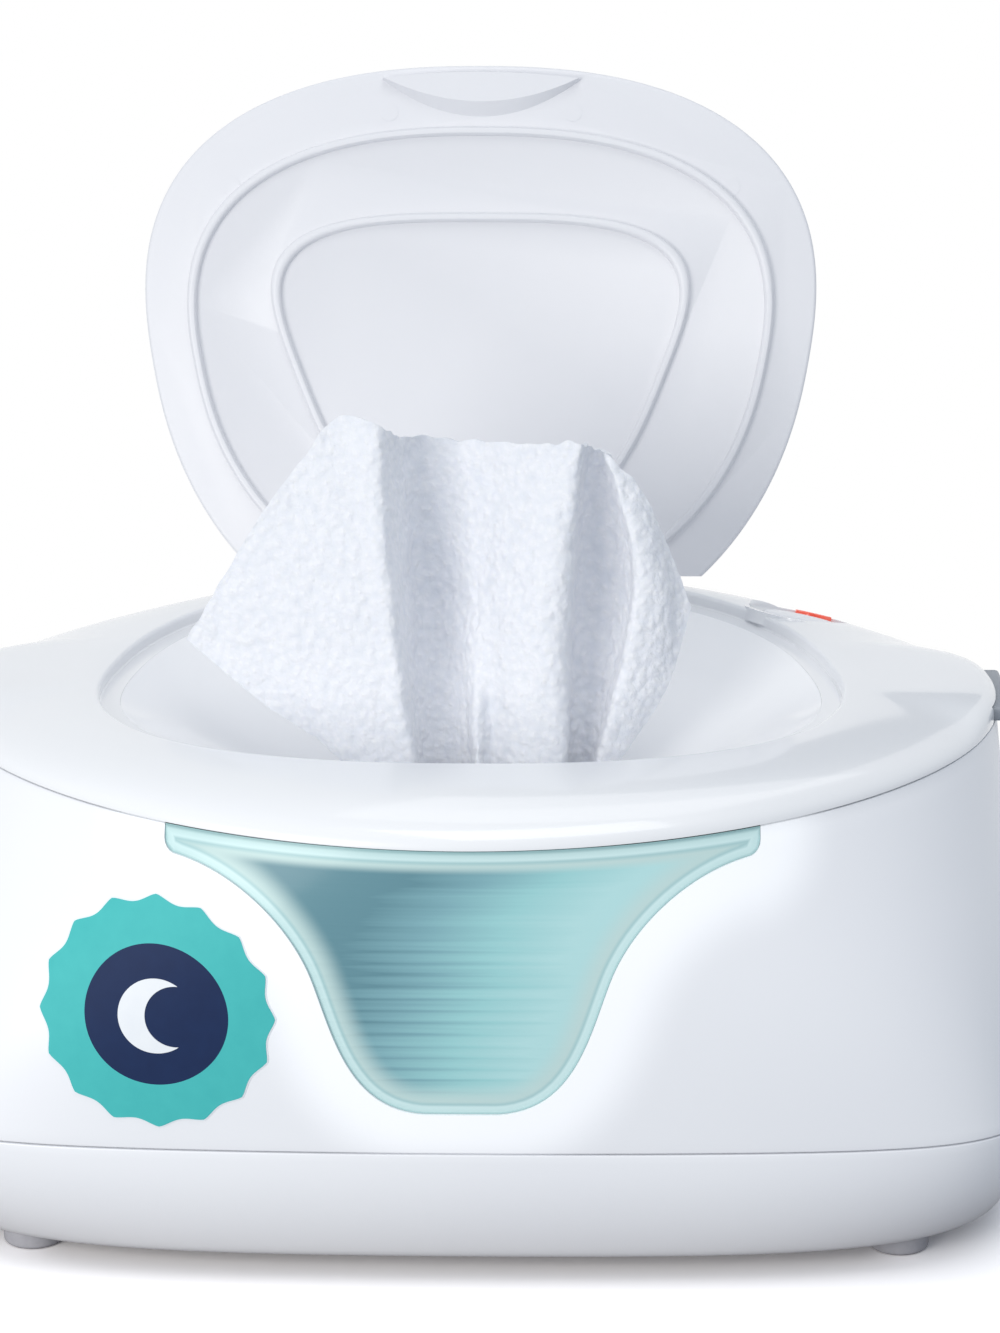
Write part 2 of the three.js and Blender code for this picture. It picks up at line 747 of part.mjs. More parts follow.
function bodyShell() {
  const span = upperSeamHeight - lowerSeamHeight;
  const heights = wallShares.map((share) => lowerSeamHeight + share * span);
  const low = lowerSeamHeight + seamGap / 2;
  const lip = caseWall + fitGap;
  const ledgeFoot = ledgeHeight - ledgeSlope;
  const shell = loft([
    bodyRing(low, 0),
    ...heights.map((height) => bodyRing(height, 0)),
    seamRing(0, -seamGap / 2),
    seamRing(caseWall, -seamGap / 2),
    bodyRing(ledgeHeight, caseWall),
    bodyRing(ledgeHeight, caseWall + ledgeWidth),
    bodyRing(ledgeHeight - ledgeWidth / 2, caseWall + ledgeWidth),
    bodyRing(ledgeFoot, caseWall),
    bodyRing(heights[1], caseWall),
    bodyRing(low + 2 * lipDrop, caseWall),
    bodyRing(low + lipDrop, lip + lipThickness),
    baseRing(low - lipDrop, lip + lipThickness),
    baseRing(low - lipDrop, lip),
    bodyRing(low, lip),
  ], true);
  const inside = filledBody(caseWall);
  const posts = cornerSigns.map(([sx, sy]) => {
    const column = post(postRadius, sx * footX, sy * footY, postJoint + fitGap, bodyPostTop);
    const toCorner = Math.atan2(caseDepth / 2 - footY, caseWidth / 2 - footX);
    const web = new THREE.BoxGeometry(webLength, postWeb, bodyPostTop - low);
    web.translate(webLength / 2, 0, (bodyPostTop + low) / 2).rotateZ(toCorner).translate(footX, footY, 0);
    const placed = solidOf(web).intersect(filledBody(caseWall / 2));
    const mirrored = sx < 0 ? placed.mirror([1, 0, 0]) : placed;
    return joined(column, sy < 0 ? mirrored.mirror([0, 1, 0]) : mirrored);
  });
  const arms = [
    [-hingeHalf, -hingeMiddle / 2 - fitGap],
    [hingeMiddle / 2 + fitGap, hingeHalf],
  ].map(([from, to]) => cut(knuckle(from, to, -1), inside));
  const catchBase = seamSideZ - hookDrop + hookBarb + fitGap;
  const catches = [-1, 1].map((side) => {
    const tooth = block(
      [catchInner, -hookWidth / 2 - runGap, catchBase],
      [seamSideX - caseWall / 2, hookWidth / 2 + runGap, catchBase + catchTall],
    );
    return side > 0 ? tooth : tooth.mirror([1, 0, 0]);
  });
  const boreTop = baseScrewSeat + baseScrewLength + fitGap;
  const bores = cornerSigns.map(([sx, sy]) =>
    post(screwRadius + fitGap, sx * footX, sy * footY, postJoint, boreTop),
  );
  const lensRoom = windowSolid(lensLip + fitGap, windowBack).intersect(inside);
  const solid = joined(shell, ...posts, ...arms, ...catches);
  return cut(solid, windowSolid(0, windowBack), lensRoom, hingeBore, ...bores);
}

function windowLens() {
  const frontLayer = bodyDepthLayer(0, lensDepth);
  const plate = windowSolid(-fitGap, windowBack).intersect(frontLayer);
  const flange = windowSolid(lensLip, windowBack).intersect(bodyDepthLayer(caseWall + fitGap, lensDepth));
  const hollow = windowSolid(-fitGap - lensThickness, windowBack).intersect(
    bodyDepthLayer(lensThickness, lensDepth + cutOver),
  );
  const aboveLedge = block(
    [-seamSideX, -topDepth, ledgeHeight - ledgeWidth / 2],
    [seamSideX, 0, seamSideZ + cutOver],
  ).intersect(filledBody(caseWall));
  return cut(joined(plate, flange), hollow, aboveLedge);
}

function lightDiffuser() {
  const near = lensDepth + fitGap;
  const far = near + diffuserThickness;
  const outline = windowSolid(lensLip - fitGap, windowBack);
  const panel = outline.intersect(bodyDepthLayer(near, far));
  const low = windowBottom;
  const high = ledgeHeight - ledgeWidth;
  const ribLayer = bodyDepthLayer(far - fitGap, far + diffuserRib);
  const strip = windowSolid(-lensThickness, windowBack).intersect(ribLayer);
  const ribs = [];
  for (let z = low + diffuserPitch / 2; z < high - diffuserPitch; z += diffuserPitch) {
    const slab = block([-windowTopWidth, -topDepth, z], [windowTopWidth, 0, z + diffuserPitch / 2]);
    ribs.push(strip.intersect(slab));
  }
  const above = block([-windowTopWidth, -topDepth, high], [windowTopWidth, 0, seamSideZ + cutOver]);
  return cut(joined(panel, ...ribs), above);
}

function tubRing(height, grow, count = tubCount) {
  const t = (height - tubFloorHeight) / (ledgeHeight - tubFloorHeight);
  const draft = tubDraft * (1 - t);
  const section = { a: tubWidth / 2 - draft + grow, b: tubDepth / 2 - draft + grow, n: tubPower, bow: 0 };
  return levelRing(() => section, height, 0, count);
}

const flangeBase = ledgeHeight + fitGap;
const flangeTop = flangeBase + flangeThickness;
const sealBase = flangeTop + fitGap;
const linerBase = sealBase + sealHeight + fitGap;
const linerTop = linerBase + linerThickness;

function wipeTub() {
  return loft([
    tubRing(tubFloorHeight, -tubFoot),
    tubRing(tubFloorHeight + tubFoot / 3, -tubFoot / 3),
    tubRing(tubFloorHeight + tubFoot, 0),
    tubRing(flangeBase, 0),
    levelRing(bodySection, flangeBase, caseWall + 2 * runGap, tubCount),
    levelRing(bodySection, flangeTop, caseWall + 2 * runGap, tubCount),
    tubRing(flangeTop, -tubWall),
    tubRing(tubFloorHeight + tubFoot, -tubWall),
    tubRing(tubFloorHeight + tubWall + tubFoot / 3, -tubWall - tubFoot / 3),
    tubRing(tubFloorHeight + tubWall, -tubWall - tubFoot),
  ]);
}

// A pad with rounded corners, its edges rolled by a small amount.
function padSolid(width, depth, height, base, power, roll) {
  const ring = (inset, z) =>
    levelRing(() => ({ a: width / 2 - inset, b: depth / 2 - inset, n: power, bow: 0 }), z, 0, tubCount / 2);
  const top = base + height;
  return loft([ring(roll, base), ring(0, base + roll), ring(0, top - roll), ring(roll, top)]);
}

function wipeStack() {
  const base = tubFloorHeight + tubWall + fitGap;
  const width = stackWidth / 2;
  const depth = stackDepth / 2;
  const ring = (inset, z) =>
    levelRing(() => ({ a: width - inset, b: depth - inset, n: tubPower, bow: 0 }), z, 0, tubCount);
  const layer = (stackHeight - stackCrown) / stackLayers;
  const rings = [];
  for (let i = 0; i < stackLayers; i++) {
    const low = base + i * layer;
    const foot = i ? 0 : tubFoot / 2;
    rings.push(ring(stackGroove + foot, low));
    rings.push(ring(foot / 2, low + (layer - layerFlat) / 2), ring(0, low + (layer + layerFlat) / 2));
  }
  const top = base + stackHeight - stackCrown;
  rings.push(ring(stackGroove, top), ring(stackShoulder, top + stackCrown / 2));
  rings.push(ring(depth / 2, top + stackCrown));
  return loft(rings);
}

function heaterPlate() {
  const shape = new THREE.Shape();
  const half = plateWidth / 2;
  const side = plateDepth / 2;
  shape.moveTo(half - plateCorner, -side);
  shape.absarc(half - plateCorner, plateCorner - side, plateCorner, -halfPi, 0);
  shape.absarc(half - plateCorner, side - plateCorner, plateCorner, 0, halfPi);
  shape.absarc(plateCorner - half, side - plateCorner, plateCorner, halfPi, Math.PI);
  shape.absarc(plateCorner - half, plateCorner - side, plateCorner, Math.PI, 3 * halfPi);
  return solidOf(extruded(shape, plateThickness).translate(0, 0, plateBase));
}

function thermostat() {
  const top = plateBase - fitGap;
  const can = post(thermostatRadius, thermostatX, 0, top - thermostatHeight, top);
  const cap = post(thermostatCap, thermostatX, 0, top - thermostatHeight - thermostatStep, top);
  return joined(can, cap);
}

function thermalFuse() {
  const z = plateBase - fitGap - fuseRadius;
  const barrel = rodY(fuseRadius, -fuseLength / 2, fuseLength / 2, -thermostatX, z);
  const clip = box(fuseClip, fuseClip, 2 * fuseRadius, -thermostatX, 0, z);
  return joined(barrel, clip);
}

function controlBoard() {
  const top = boardHeight + boardThickness;
  const board = box(boardWidth, boardDepth, boardThickness, boardX, boardY, boardHeight + boardThickness / 2);
  const relayZ = top + relayHeight / 2 - fitGap;
  const relay = box(relayWidth, relayDepth, relayHeight, boardX + relayX, boardY + relayY, relayZ);
  const caps = [0, 1].map((i) =>
    post(capRadius, boardX + capX + i * capPitch, boardY + relayY, top - fitGap, top + capHeight),
  );
  const holes = boardScrewPlaces.map(([x, y]) =>
    post(smallScrewRadius + fitGap, x, y, boardHeight - cutOver, top + cutOver),
  );
  return cut(joined(board, relay, ...caps), ...holes);
}

function powerInlet() {
  const end = inletBack + inletDepth;
  const blockSolid = block(
    [inletX - inletBlock / 2, inletBack, inletHeight - inletBlock / 2],
    [inletX + inletBlock / 2, end, inletHeight + inletBlock / 2],
  );
  const face = inletWall - fitGap;
  const barrel = rodY(inletRadius, end - fitGap, face, inletX, inletHeight);
  const bore = rodY(inletBore, face - inletBoreDepth, face + cutOver, inletX, inletHeight);
  const pin = rodY(inletPin, face - inletBoreDepth - fitGap, face - inletBore, inletX, inletHeight);
  return joined(cut(joined(blockSolid, barrel), bore), pin);
}

function nightLightBoard() {
  const y = lightBoardY;
  const z = lightBoardBase + lightBoardTall / 2;
  const board = box(lightBoardWidth, boardThickness, lightBoardTall, 0, y, z);
  const leds = [-1, 0, 1].map((i) =>
    box(ledSize, ledSize, ledSize, i * ledPitch, y - (boardThickness + ledSize) / 2 + fitGap, z),
  );
  return joined(board, ...leds);
}

// A wire bent through the given points.
function wire(points) {
  const path = new THREE.CatmullRomCurve3(points.map((point) => new THREE.Vector3(...point)));
  const section = new THREE.Shape();
  section.absarc(0, 0, wireRadius, 0, 2 * Math.PI);
  const options = { steps: wireSteps, extrudePath: path, curveSegments: wireSides / 2, bevelEnabled: false };
  return solidOf(new THREE.ExtrudeGeometry(section, options));
}

const boardRight = boardX + boardWidth / 2;
const boardLeft = boardX - boardWidth / 2;
const boardFront = boardY - boardDepth / 2;
const wireEnd = fitGap + smallest;

function heaterLead() {
  const z = plateBase - fitGap - thermostatHeight / 2;
  const start = [boardRight + wireEnd, boardY, wireHeight];
  return wire([start, ...heaterLeadRoute, [thermostatX, thermostatRadius + wireEnd, z]]);
}

function fuseLead() {
  const z = plateBase - fitGap - fuseRadius;
  const start = [boardLeft - wireEnd, boardY, wireHeight];
  return wire([start, ...fuseLeadRoute, [-thermostatX, fuseLength / 2 + wireEnd, z]]);
}

function lightLead() {
  const start = [wireWayX, boardFront - wireEnd, wireHeight];
  return wire([start, ...lightLeadRoute, [-lightLeadX, lightBoardY, lightBoardBase - wireEnd]]);
}

// Recess plane, lid and rib outlines

const lidFront = lidCentre - lidHalfLength;
const lidOutline = {
  halfWidth: lidHalfWidth,
  halfLength: lidHalfLength,
  centre: lidCentre,
  taper: lidTaperShare,
  power: lidPower,
};
const outerRib = {
  halfWidth: outerRibHalfWidth,
  halfLength: outerRibHalfLength,
  centre: lidCentre + outerRibBack,
  taper: outerRibTaperShare,
  power: outerRibPower,
};
const innerRib = {
  halfWidth: innerRibHalfWidth,
  halfLength: innerRibHalfLength,
  centre: lidCentre + innerRibBack,
  taper: innerRibTaperShare,
  power: innerRibPower,
};

// A tapered superellipse, wider towards the free edge of the lid and cut straight at its back.
function taperedPoint(outline, angle, grow, back = Infinity) {
  const c = Math.cos(angle);
  const s = Math.sin(angle);
  const across = Math.sign(c) * Math.abs(c) ** (2 / outline.power);
  const along = Math.sign(s) * Math.abs(s) ** (2 / outline.power);
  const x = (outline.halfWidth + grow) * (1 - outline.taper * along) * across;
  const y = Math.min(outline.centre + (outline.halfLength + grow) * along, back);
  return { x, y };
}

function recessHeightAt(y) {
  return rimFrontHeight + (y - lidFront + lidGap) * Math.tan(tilt);
}

const lidAxisZ = recessHeightAt(lidAxisY) - lidBarrelRadius;
const lean = degToRad(lidLean);
// The open lid's outer face leans over the rim this far behind the hinge axis.
const lidStop = lidBarrelRadius * (Math.cos(lean) + (1 + Math.sin(lean)) * Math.tan(lean));
const pocketBack = lidAxisY + lidStop + fitGap;

function recessPoint(angle, grow, drop, back = pocketBack) {
  const { x, y } = taperedPoint(lidOutline, angle, grow, back);
  return new THREE.Vector3(x, y, recessHeightAt(y) - drop);
}

const recessRing = (grow, drop, back) => ringOf(ringCount, (angle) => recessPoint(angle, grow, drop, back));

// Cover shell: a crown from the seam up to the recess, fuller over the two latches

function crownPoint(angle, degrees, inset, grow = lidGap + rimEdge) {
  const low = seamPoint(angle, inset, seamGap / 2);
  const high = recessPoint(angle, grow, inset);
  const fullness = lerp(2, swellPower, Math.exp(-((low.y / swellHalf) ** 4)));
  const run = 1 - Math.cos(degToRad(degrees)) ** (2 / fullness);
  const rise = Math.sin(degToRad(degrees)) ** (2 / fullness);
  return new THREE.Vector3(lerp(low.x, high.x, run), lerp(low.y, high.y, run), lerp(low.z, high.z, rise));
}

function crownRing(degrees, inset, grow) {
  return ringOf(ringCount, (angle) => crownPoint(angle, degrees, inset, grow));
}

// The cover filled from the seam to the recess plane.
function filledCover(inset) {
  const rings = crownAngles.map((degrees) => crownRing(degrees, inset));
  return loft([seamRing(inset, seamGap / 2), ...rings, recessRing(lidGap + rimEdge, inset)]);
}

const barrelHalf = lidBarrelLength / 2;
const pocketHalf = barrelHalf + runGap;
const pocketFront = lidAxisY - lidBarrelRadius - runGap;
const pocketBottom = lidAxisZ - lidBarrelRadius - runGap;
const ledgeTopAtAxis = recessHeightAt(lidAxisY) - stepDepth;
const troughFront = pocketFront - pocketFloor;
const notchDepth = lidThickness + gripHeight + runGap;
const pinOuter = pocketHalf + lidEar - fitGap;
const pinInner = pinOuter - lidPinLength;

// The crescent under the lid's free edge, as a ring in the lid's plane.
function gripRing(grow, depth, z) {
  const half = gripWidth / 2 + grow;
  const corner = lidFront + gripInset;
  return ringOf(gripCount, (angle) => {
    const side = Math.sin(angle) > 0 ? depth + grow : gripSag + grow;
    const x = half * Math.cos(angle);
    const bulge = 1 - (x / half) ** 2;
    return new THREE.Vector3(x, corner + Math.sign(Math.sin(angle)) * side * bulge, z);
  });
}

const buttonFrame = new THREE.Matrix4();

function placeButtonFrame() {
  const bearing = degToRad(buttonBearing);
  const nudge = degToRad(1);
  const origin = crownPoint(bearing, buttonCrown, 0);
  const inward = crownPoint(bearing, buttonCrown + 1, 0).sub(origin);
  const round = crownPoint(bearing + nudge, buttonCrown, 0).sub(origin);
  const normal = inward.clone().negate().cross(round).normalize();
  const outward = inward.negate().normalize();
  const along = normal.clone().cross(outward);
  buttonFrame.makeBasis(outward, along, normal).setPosition(origin);
}
placeButtonFrame();

const inButtonFrame = (solid) => solid.transform(buttonFrame.elements);
const backingBase = -dishDepth - dishBacking;
const buttonTop = buttonProud - dishDepth;
const buttonBase = -dishDepth - buttonSkirt;
const stemEnd = buttonBase - stemLength;
const switchBoardTop = stemEnd - buttonTravel - fitGap;

// A sector of the indicator ring between two radii, in the button's frame.
function arcSector(inner, outer, spread, low, high) {
  const middle = degToRad(arcBearing);
  const half = degToRad(arcHalfAngle) + spread;
  const shape = new THREE.Shape();
  shape.absarc(0, 0, outer, middle - half, middle + half, false);
  shape.absarc(0, 0, inner, middle + half, middle - half, true);
  return solidOf(extruded(shape, high - low).translate(0, 0, low));
}

const latchBase = seamSideZ + seamGap / 2 + fitGap;
const latchTop = latchBase + latchTall;
const latchOuter = seamSideX + latchOut;
const latchInner = latchOuter - latchDepth;
const hookOuter = seamSideX - hookBack;

function latchRoom() {
  const half = latchLength / 2 + fitGap;
  return block(
    [seamSideX - roomReach, -half, seamSideZ - hookDrop],
    [seamSideX + cutOver, half, latchTop + fitGap],
  );
}

function coverShell() {
  const backing = lidGap + stepBacking;
  const ledgeBase = stepDepth + ledgeThickness;
  const ledgeBack = pocketBack - ledge;
  const shell = loft([
    seamRing(0, seamGap / 2),
    ...crownAngles.map((degrees) => crownRing(degrees, 0)),
    recessRing(lidGap + rimEdge, 0),
    recessRing(lidGap, rimEdge),
    recessRing(lidGap, stepDepth),
    recessRing(lidGap - ledge, stepDepth, ledgeBack),
    recessRing(lidGap - ledge, ledgeBase, ledgeBack),
    recessRing(backing, ledgeBase),
    recessRing(backing, caseWall),
    ...[...innerAngles].reverse().map((degrees) => crownRing(degrees, caseWall, backing)),
    seamRing(caseWall, seamGap / 2),
  ], true);
  const trough = block(
    [-pocketHalf - lidEar, troughFront, pocketBottom - pocketFloor],
    [pocketHalf + lidEar, pocketBack + stepBacking, ledgeTopAtAxis],
  );
  const pocketTop = ledgeTopAtAxis + cutOver;
  const pocket = block([-pocketHalf, pocketFront, pocketBottom], [pocketHalf, pocketBack, pocketTop]);
  const pinHoles = rodX(lidPinRadius + fitGap, -pinOuter - fitGap, pinOuter + fitGap, lidAxisY, lidAxisZ);
  const filled = filledCover(0);
  const inside = filledCover(caseWall);
  const backingDisc = inButtonFrame(post(backingRadius, 0, 0, backingBase, 0, dishCount)).intersect(filled);
  const switchPosts = [-1, 1].map((side) => {
    const y = side * (switchBoardWidth / 2 - switchPost);
    return inButtonFrame(post(switchPost, 0, y, switchBoardTop + fitGap, backingBase + fitGap));
  });
  const dish = inButtonFrame(turned([
    [0, -dishDepth],
    [dishRadius - dishDepth / 2, -dishDepth],
    [dishRadius, -dishDepth / 2],
    [dishRadius + cutOver, cutOver * 2],
    [0, cutOver * 2],
  ], dishCount));
  const under = backingBase - runGap;
  const bore = inButtonFrame(post(buttonRadius + fitGap, 0, 0, under, cutOver, dishCount));
  const spread = fitGap / arcInner;
  const slot = inButtonFrame(arcSector(arcInner - fitGap, arcOuter + fitGap, spread, under, cutOver));
  const places = coverPosts.flatMap(([x, y]) => [
    [-x, y],
    [x, y],
  ]);
  const posts = places.map(([x, y]) =>
    post(coverPostRadius, x, y, linerTop + fitGap, rimFrontHeight).intersect(filled),
  );
  const threads = places.map(([x, y]) =>
    post(smallScrewRadius + fitGap, x, y, linerTop, linerTop + coverScrewBite),
  );
  const rooms = [latchRoom(), latchRoom().mirror([1, 0, 0])];
  const notch = loft([
    gripRing(runGap, gripDepth, recessHeightAt(lidFront) - notchDepth),
    gripRing(runGap, gripDepth, recessHeightAt(lidFront) + cutOver),
  ]).intersect(block([-gripWidth, lidFront - lidGap, 0], [gripWidth, 0, 2 * rimFrontHeight]));
  const arm = cut(knuckle(-hingeMiddle / 2, hingeMiddle / 2, 1), inside);
  const built = joined(shell, trough, backingDisc, ...switchPosts, ...posts, arm);
  return cut(built, pocket, pinHoles, dish, bore, slot, ...threads, ...rooms, notch, hingeBore);
}

// Flip lid, in its own frame: the hinge axis is its origin and it lies shut towards -Y

const lidTop = lidBarrelRadius;
const lidUnder = lidTop - lidThickness;

function lidRing(outline, grow, z, back = Infinity, count = ringCount) {
  return ringOf(count, (angle) => {
    const { x, y } = taperedPoint(outline, angle, grow, back);
    return new THREE.Vector3(x, y - lidAxisY, z);
  });
}

function raisedRib(outline) {
  const under = lidUnder + lidThickness / 3;
  const crest = lidUnder - ribHeight;
  const rib = loft([
    lidRing(outline, ribFoot / 2, under),
    lidRing(outline, ribFoot / 2, lidUnder),
    lidRing(outline, ribTop / 2, crest),
    lidRing(outline, -ribTop / 2, crest),
    lidRing(outline, -ribFoot / 2, lidUnder),
    lidRing(outline, -ribFoot / 2, under),
  ], true);
  const end = troughFront - runGap - lidAxisY;
  return rib.subtract(block([-lidHalfWidth, end, crest - cutOver], [lidHalfWidth, lidHalfLength, lidTop]));
}

function flipLid() {
  const plate = loft([
    lidRing(lidOutline, -lidEdge, lidUnder, lidAxisY),
    lidRing(lidOutline, 0, lidUnder + lidEdge, lidAxisY),
    lidRing(lidOutline, 0, lidTop - lidEdge, lidAxisY),
    lidRing(lidOutline, -lidEdge, lidTop, lidAxisY),
  ]);
  const beside = [-1, 1].map((side) =>
    block(
      [side > 0 ? barrelHalf : -lidHalfWidth, -2 * lidBarrelRadius, -lidBarrelRadius],
      [side > 0 ? lidHalfWidth : -barrelHalf, lidBarrelRadius, lidTop + cutOver],
    ),
  );
  const barrel = rodX(lidBarrelRadius, -barrelHalf, barrelHalf, 0, 0);
  const under = lidUnder + lidThickness / 3;
  const place = (solid) => solid.translate([0, -lidAxisY, 0]);
  const grip = place(loft([
    gripRing(0, gripDepth, under),
    gripRing(0, gripDepth, lidUnder),
    gripRing(-gripHeight / 2, gripDepth - gripHeight, lidUnder - gripHeight),
  ]));
  const scoop = place(loft([
    gripRing(-gripWall - gripHeight / 2, gripDepth - gripHeight, lidTop - gripScoop),
    gripRing(-gripWall, gripDepth - gripWall, lidTop),
    gripRing(-gripWall, gripDepth - gripWall, lidTop + cutOver),
  ]));
  const pinBore = rodX(lidPinRadius + fitGap, pinInner - fitGap, barrelHalf + cutOver, 0, 0);
  const bores = [pinBore, pinBore.mirror([1, 0, 0])];
  const solid = joined(cut(plate, ...beside), barrel, raisedRib(outerRib), raisedRib(innerRib), grip);
  return cut(solid, scoop, ...bores);
}

// Dispenser bowl: a collar in the ledge's opening, a funnel and the slot

function slotPoint(angle, grow, z) {
  const section = { a: slotWidth / 2 + grow, b: slotDepth / 2 + grow, n: slotPower, bow: 0 };
  const { x, y } = sectionPoint(section, angle);
  return new THREE.Vector3(x, slotY + y, z);
}

const slotHeight = recessHeightAt(slotY) - stepDepth - bowlDepth;
const bowlBack = pocketBack - ledge - fitGap;

// A point of the funnel: share 0 at its upper edge and 1 at the slot.
function bowlPoint(angle, share, drop) {
  const collar = lidGap - ledge - fitGap;
  const high = recessPoint(angle, collar - bowlEdge, stepDepth + bowlEdge / 2, bowlBack - bowlEdge);
  const low = slotPoint(angle, 0, slotHeight);
  const fall = Math.sin(halfPi * share);
  return new THREE.Vector3(
    lerp(high.x, low.x, share),
    lerp(high.y, low.y, share),
    lerp(high.z, low.z, fall) - drop,
  );
}

const flangeHigh = stepDepth + ledgeThickness + fitGap;
const flangeLow = flangeHigh + bowlFlangeThickness;

function bowlUnderside(angle, share) {
  if (share === 1) return slotPoint(angle, bowlWall, slotHeight - slotLip);
  return bowlPoint(angle, share, share ? bowlWall : flangeLow - stepDepth - bowlEdge / 2);
}

function dispenserBowl() {
  const collar = lidGap - ledge - fitGap;
  const shares = Array.from({ length: bowlSteps }, (_, i) => i / bowlSteps);
  const ring = (share, drop) => ringOf(ringCount, (angle) => bowlPoint(angle, share, drop));
  const slotRing = (grow, z) => ringOf(ringCount, (angle) => slotPoint(angle, grow, z));
  const bowl = loft([
    recessRing(collar, flangeHigh, bowlBack),
    recessRing(collar, stepDepth, bowlBack),
    ...shares.map((share) => ring(share, 0)),
    slotRing(0, slotHeight),
    slotRing(0, slotHeight - slotLip),
    slotRing(bowlWall, slotHeight - slotLip),
    ...[...shares].reverse().map((share) => ringOf(ringCount, (angle) => bowlUnderside(angle, share))),
    recessRing(collar + bowlFlange, flangeLow, bowlBack + bowlFlange),
    recessRing(collar + bowlFlange, flangeHigh, bowlBack + bowlFlange),
  ], true);
  const trough = block(
    [-pocketHalf - lidEar - fitGap, troughFront - fitGap, pocketBottom - pocketFloor - cutOver],
    [pocketHalf + lidEar + fitGap, pocketBack + cutOver, ledgeTopAtAxis + cutOver],
  );
  const notch = loft([
    gripRing(runGap, gripDepth, recessHeightAt(lidFront) - notchDepth),
    gripRing(runGap, gripDepth, recessHeightAt(lidFront) + cutOver),
  ]);
  return cut(bowl, trough, notch);
}

// Liner under the cover and the seal on it

// Where the bowl's underside passes the liner, moved out by the clearance round it.
function linerOpeningPoint(angle, z) {
  const level = linerTop + fitGap;
  const shares = Array.from({ length: bowlSteps + 1 }, (_, i) => i / bowlSteps);
  const below = shares.findIndex((share) => bowlUnderside(angle, share).z < level);
  const high = bowlUnderside(angle, shares[below - 1]);
  const low = bowlUnderside(angle, shares[below]);
  const point = high.lerp(low, (high.z - level) / (high.z - low.z));
  const away = new THREE.Vector2(point.x, point.y - slotY).setLength(linerOpening);
  return new THREE.Vector3(point.x + away.x, point.y + away.y, z);
}

function coverLiner() {
  const opening = (z) => ringOf(ringCount, (angle) => linerOpeningPoint(angle, z));
  const outer = (z) =>
    ringOf(ringCount, (angle) => {
      const { x, y } = sectionPoint(bodySection(upperSeamHeight, linerInset), angle);
      return new THREE.Vector3(x, y, z);
    });
  const plate = loft([outer(linerBase), outer(linerTop), opening(linerTop), opening(linerBase)], true);
  const hole = smallScrewRadius + fitGap;
  const holes = coverPosts.flatMap(([x, y]) =>
    [-1, 1].map((side) => post(hole, side * x, y, linerBase - cutOver, linerTop + cutOver)),
  );
  const notches = [-1, 1].map((side) => {
    const inner = hookOuter - hookThickness - hookBarb - latchTravel - runGap;
    const notch = block(
      [inner, -hookWidth / 2 - runGap, linerBase - cutOver],
      [seamSideX, hookWidth / 2 + runGap, linerTop + cutOver],
    );
    return side > 0 ? notch : notch.mirror([1, 0, 0]);
  });
  return cut(plate, ...holes, ...notches);
}

function coverSeal() {
  const ring = (grow, z) => tubRing(z, grow);
  const crest = sealWidth / 3;
  return loft([
    ring(sealOut, sealBase + sealHeight),
    ring(sealOut + sealWidth, sealBase + sealHeight),
    ring(sealOut + sealWidth - crest / 2, sealBase),
    ring(sealOut + crest / 2, sealBase),
  ], true);
}

// Side latch button with its hook, on the +X side

function latchButton() {
  const round = latchTall / 3;
  const half = latchLength / 2;
  const face = new THREE.Shape();
  face.moveTo(half - round, 0);
  face.absarc(half - round, round, round, -halfPi, 0);
  face.absarc(half - round, latchTall - round, round, 0, halfPi);
  face.absarc(round - half, latchTall - round, round, halfPi, Math.PI);
  face.absarc(round - half, round, round, Math.PI, 3 * halfPi);
  const key = extruded(face, latchDepth).rotateX(halfPi).rotateZ(halfPi).translate(latchInner, 0, latchBase);
  const stem = block(
    [hookOuter - hookBarb - hookThickness, -hookWidth / 2, latchBase],
    [latchInner + fitGap, hookWidth / 2, latchTop - round],
  );
  const tip = seamSideZ - hookDrop;
  const hook = block(
    [hookOuter - hookBarb - hookThickness, -hookWidth / 2, tip],
    [hookOuter - hookBarb, hookWidth / 2, latchTop - round],
  );
  const barbInner = hookOuter - hookBarb - fitGap;
  const barb = block([barbInner, -hookWidth / 2, tip], [hookOuter, hookWidth / 2, tip + hookBarb]);
  return joined(solidOf(key), stem, hook, barb);
}

// Power button pieces, in the button's frame: z = 0 touches the crown

function powerButton() {
  return turned([
    [0, stemEnd],
    [buttonStem, stemEnd],
    [buttonStem, buttonBase],
    [buttonRadius, buttonBase],
    [buttonRadius, buttonTop - buttonTravel],
    [buttonRadius - buttonTravel, buttonTop - buttonTravel / 3],
    [buttonFlat, buttonTop],
    [0, buttonTop],
  ], dishCount);
}

function indicatorLens() {
  return arcSector(arcInner, arcOuter, 0, backingBase, arcProud - dishDepth);
}

function switchBoard() {
  const middle = switchBoardTop - boardThickness / 2;
  const board = box(switchBoardDepth, switchBoardWidth, boardThickness, -switchBoardBack, 0, middle);
  const ledX = switchPost + ledSize / 2;
  const ledY = switchBoardWidth / 2 - ledSize / 2;
  const led = box(ledSize / 2, ledSize / 2, 2 * fitGap, ledX, ledY, switchBoardTop);
  return joined(board, led);
}

// The wipe, pleated from the slot up to its free edge

function throughPoints(values, t) {
  const last = values.length - 1;
  const i = Math.min(last - 1, Math.floor(t));
  const f = t - i;
  const at = (k) => values[Math.min(last, Math.max(0, k))];
  const [a, b, c, d] = [at(i - 1), at(i), at(i + 1), at(i + 2)];
  return 0.5 * (2 * b + (c - a) * f + (2 * a - 5 * b + 4 * c - d) * f * f + (3 * b - a - 3 * c + d) * f ** 3);
}

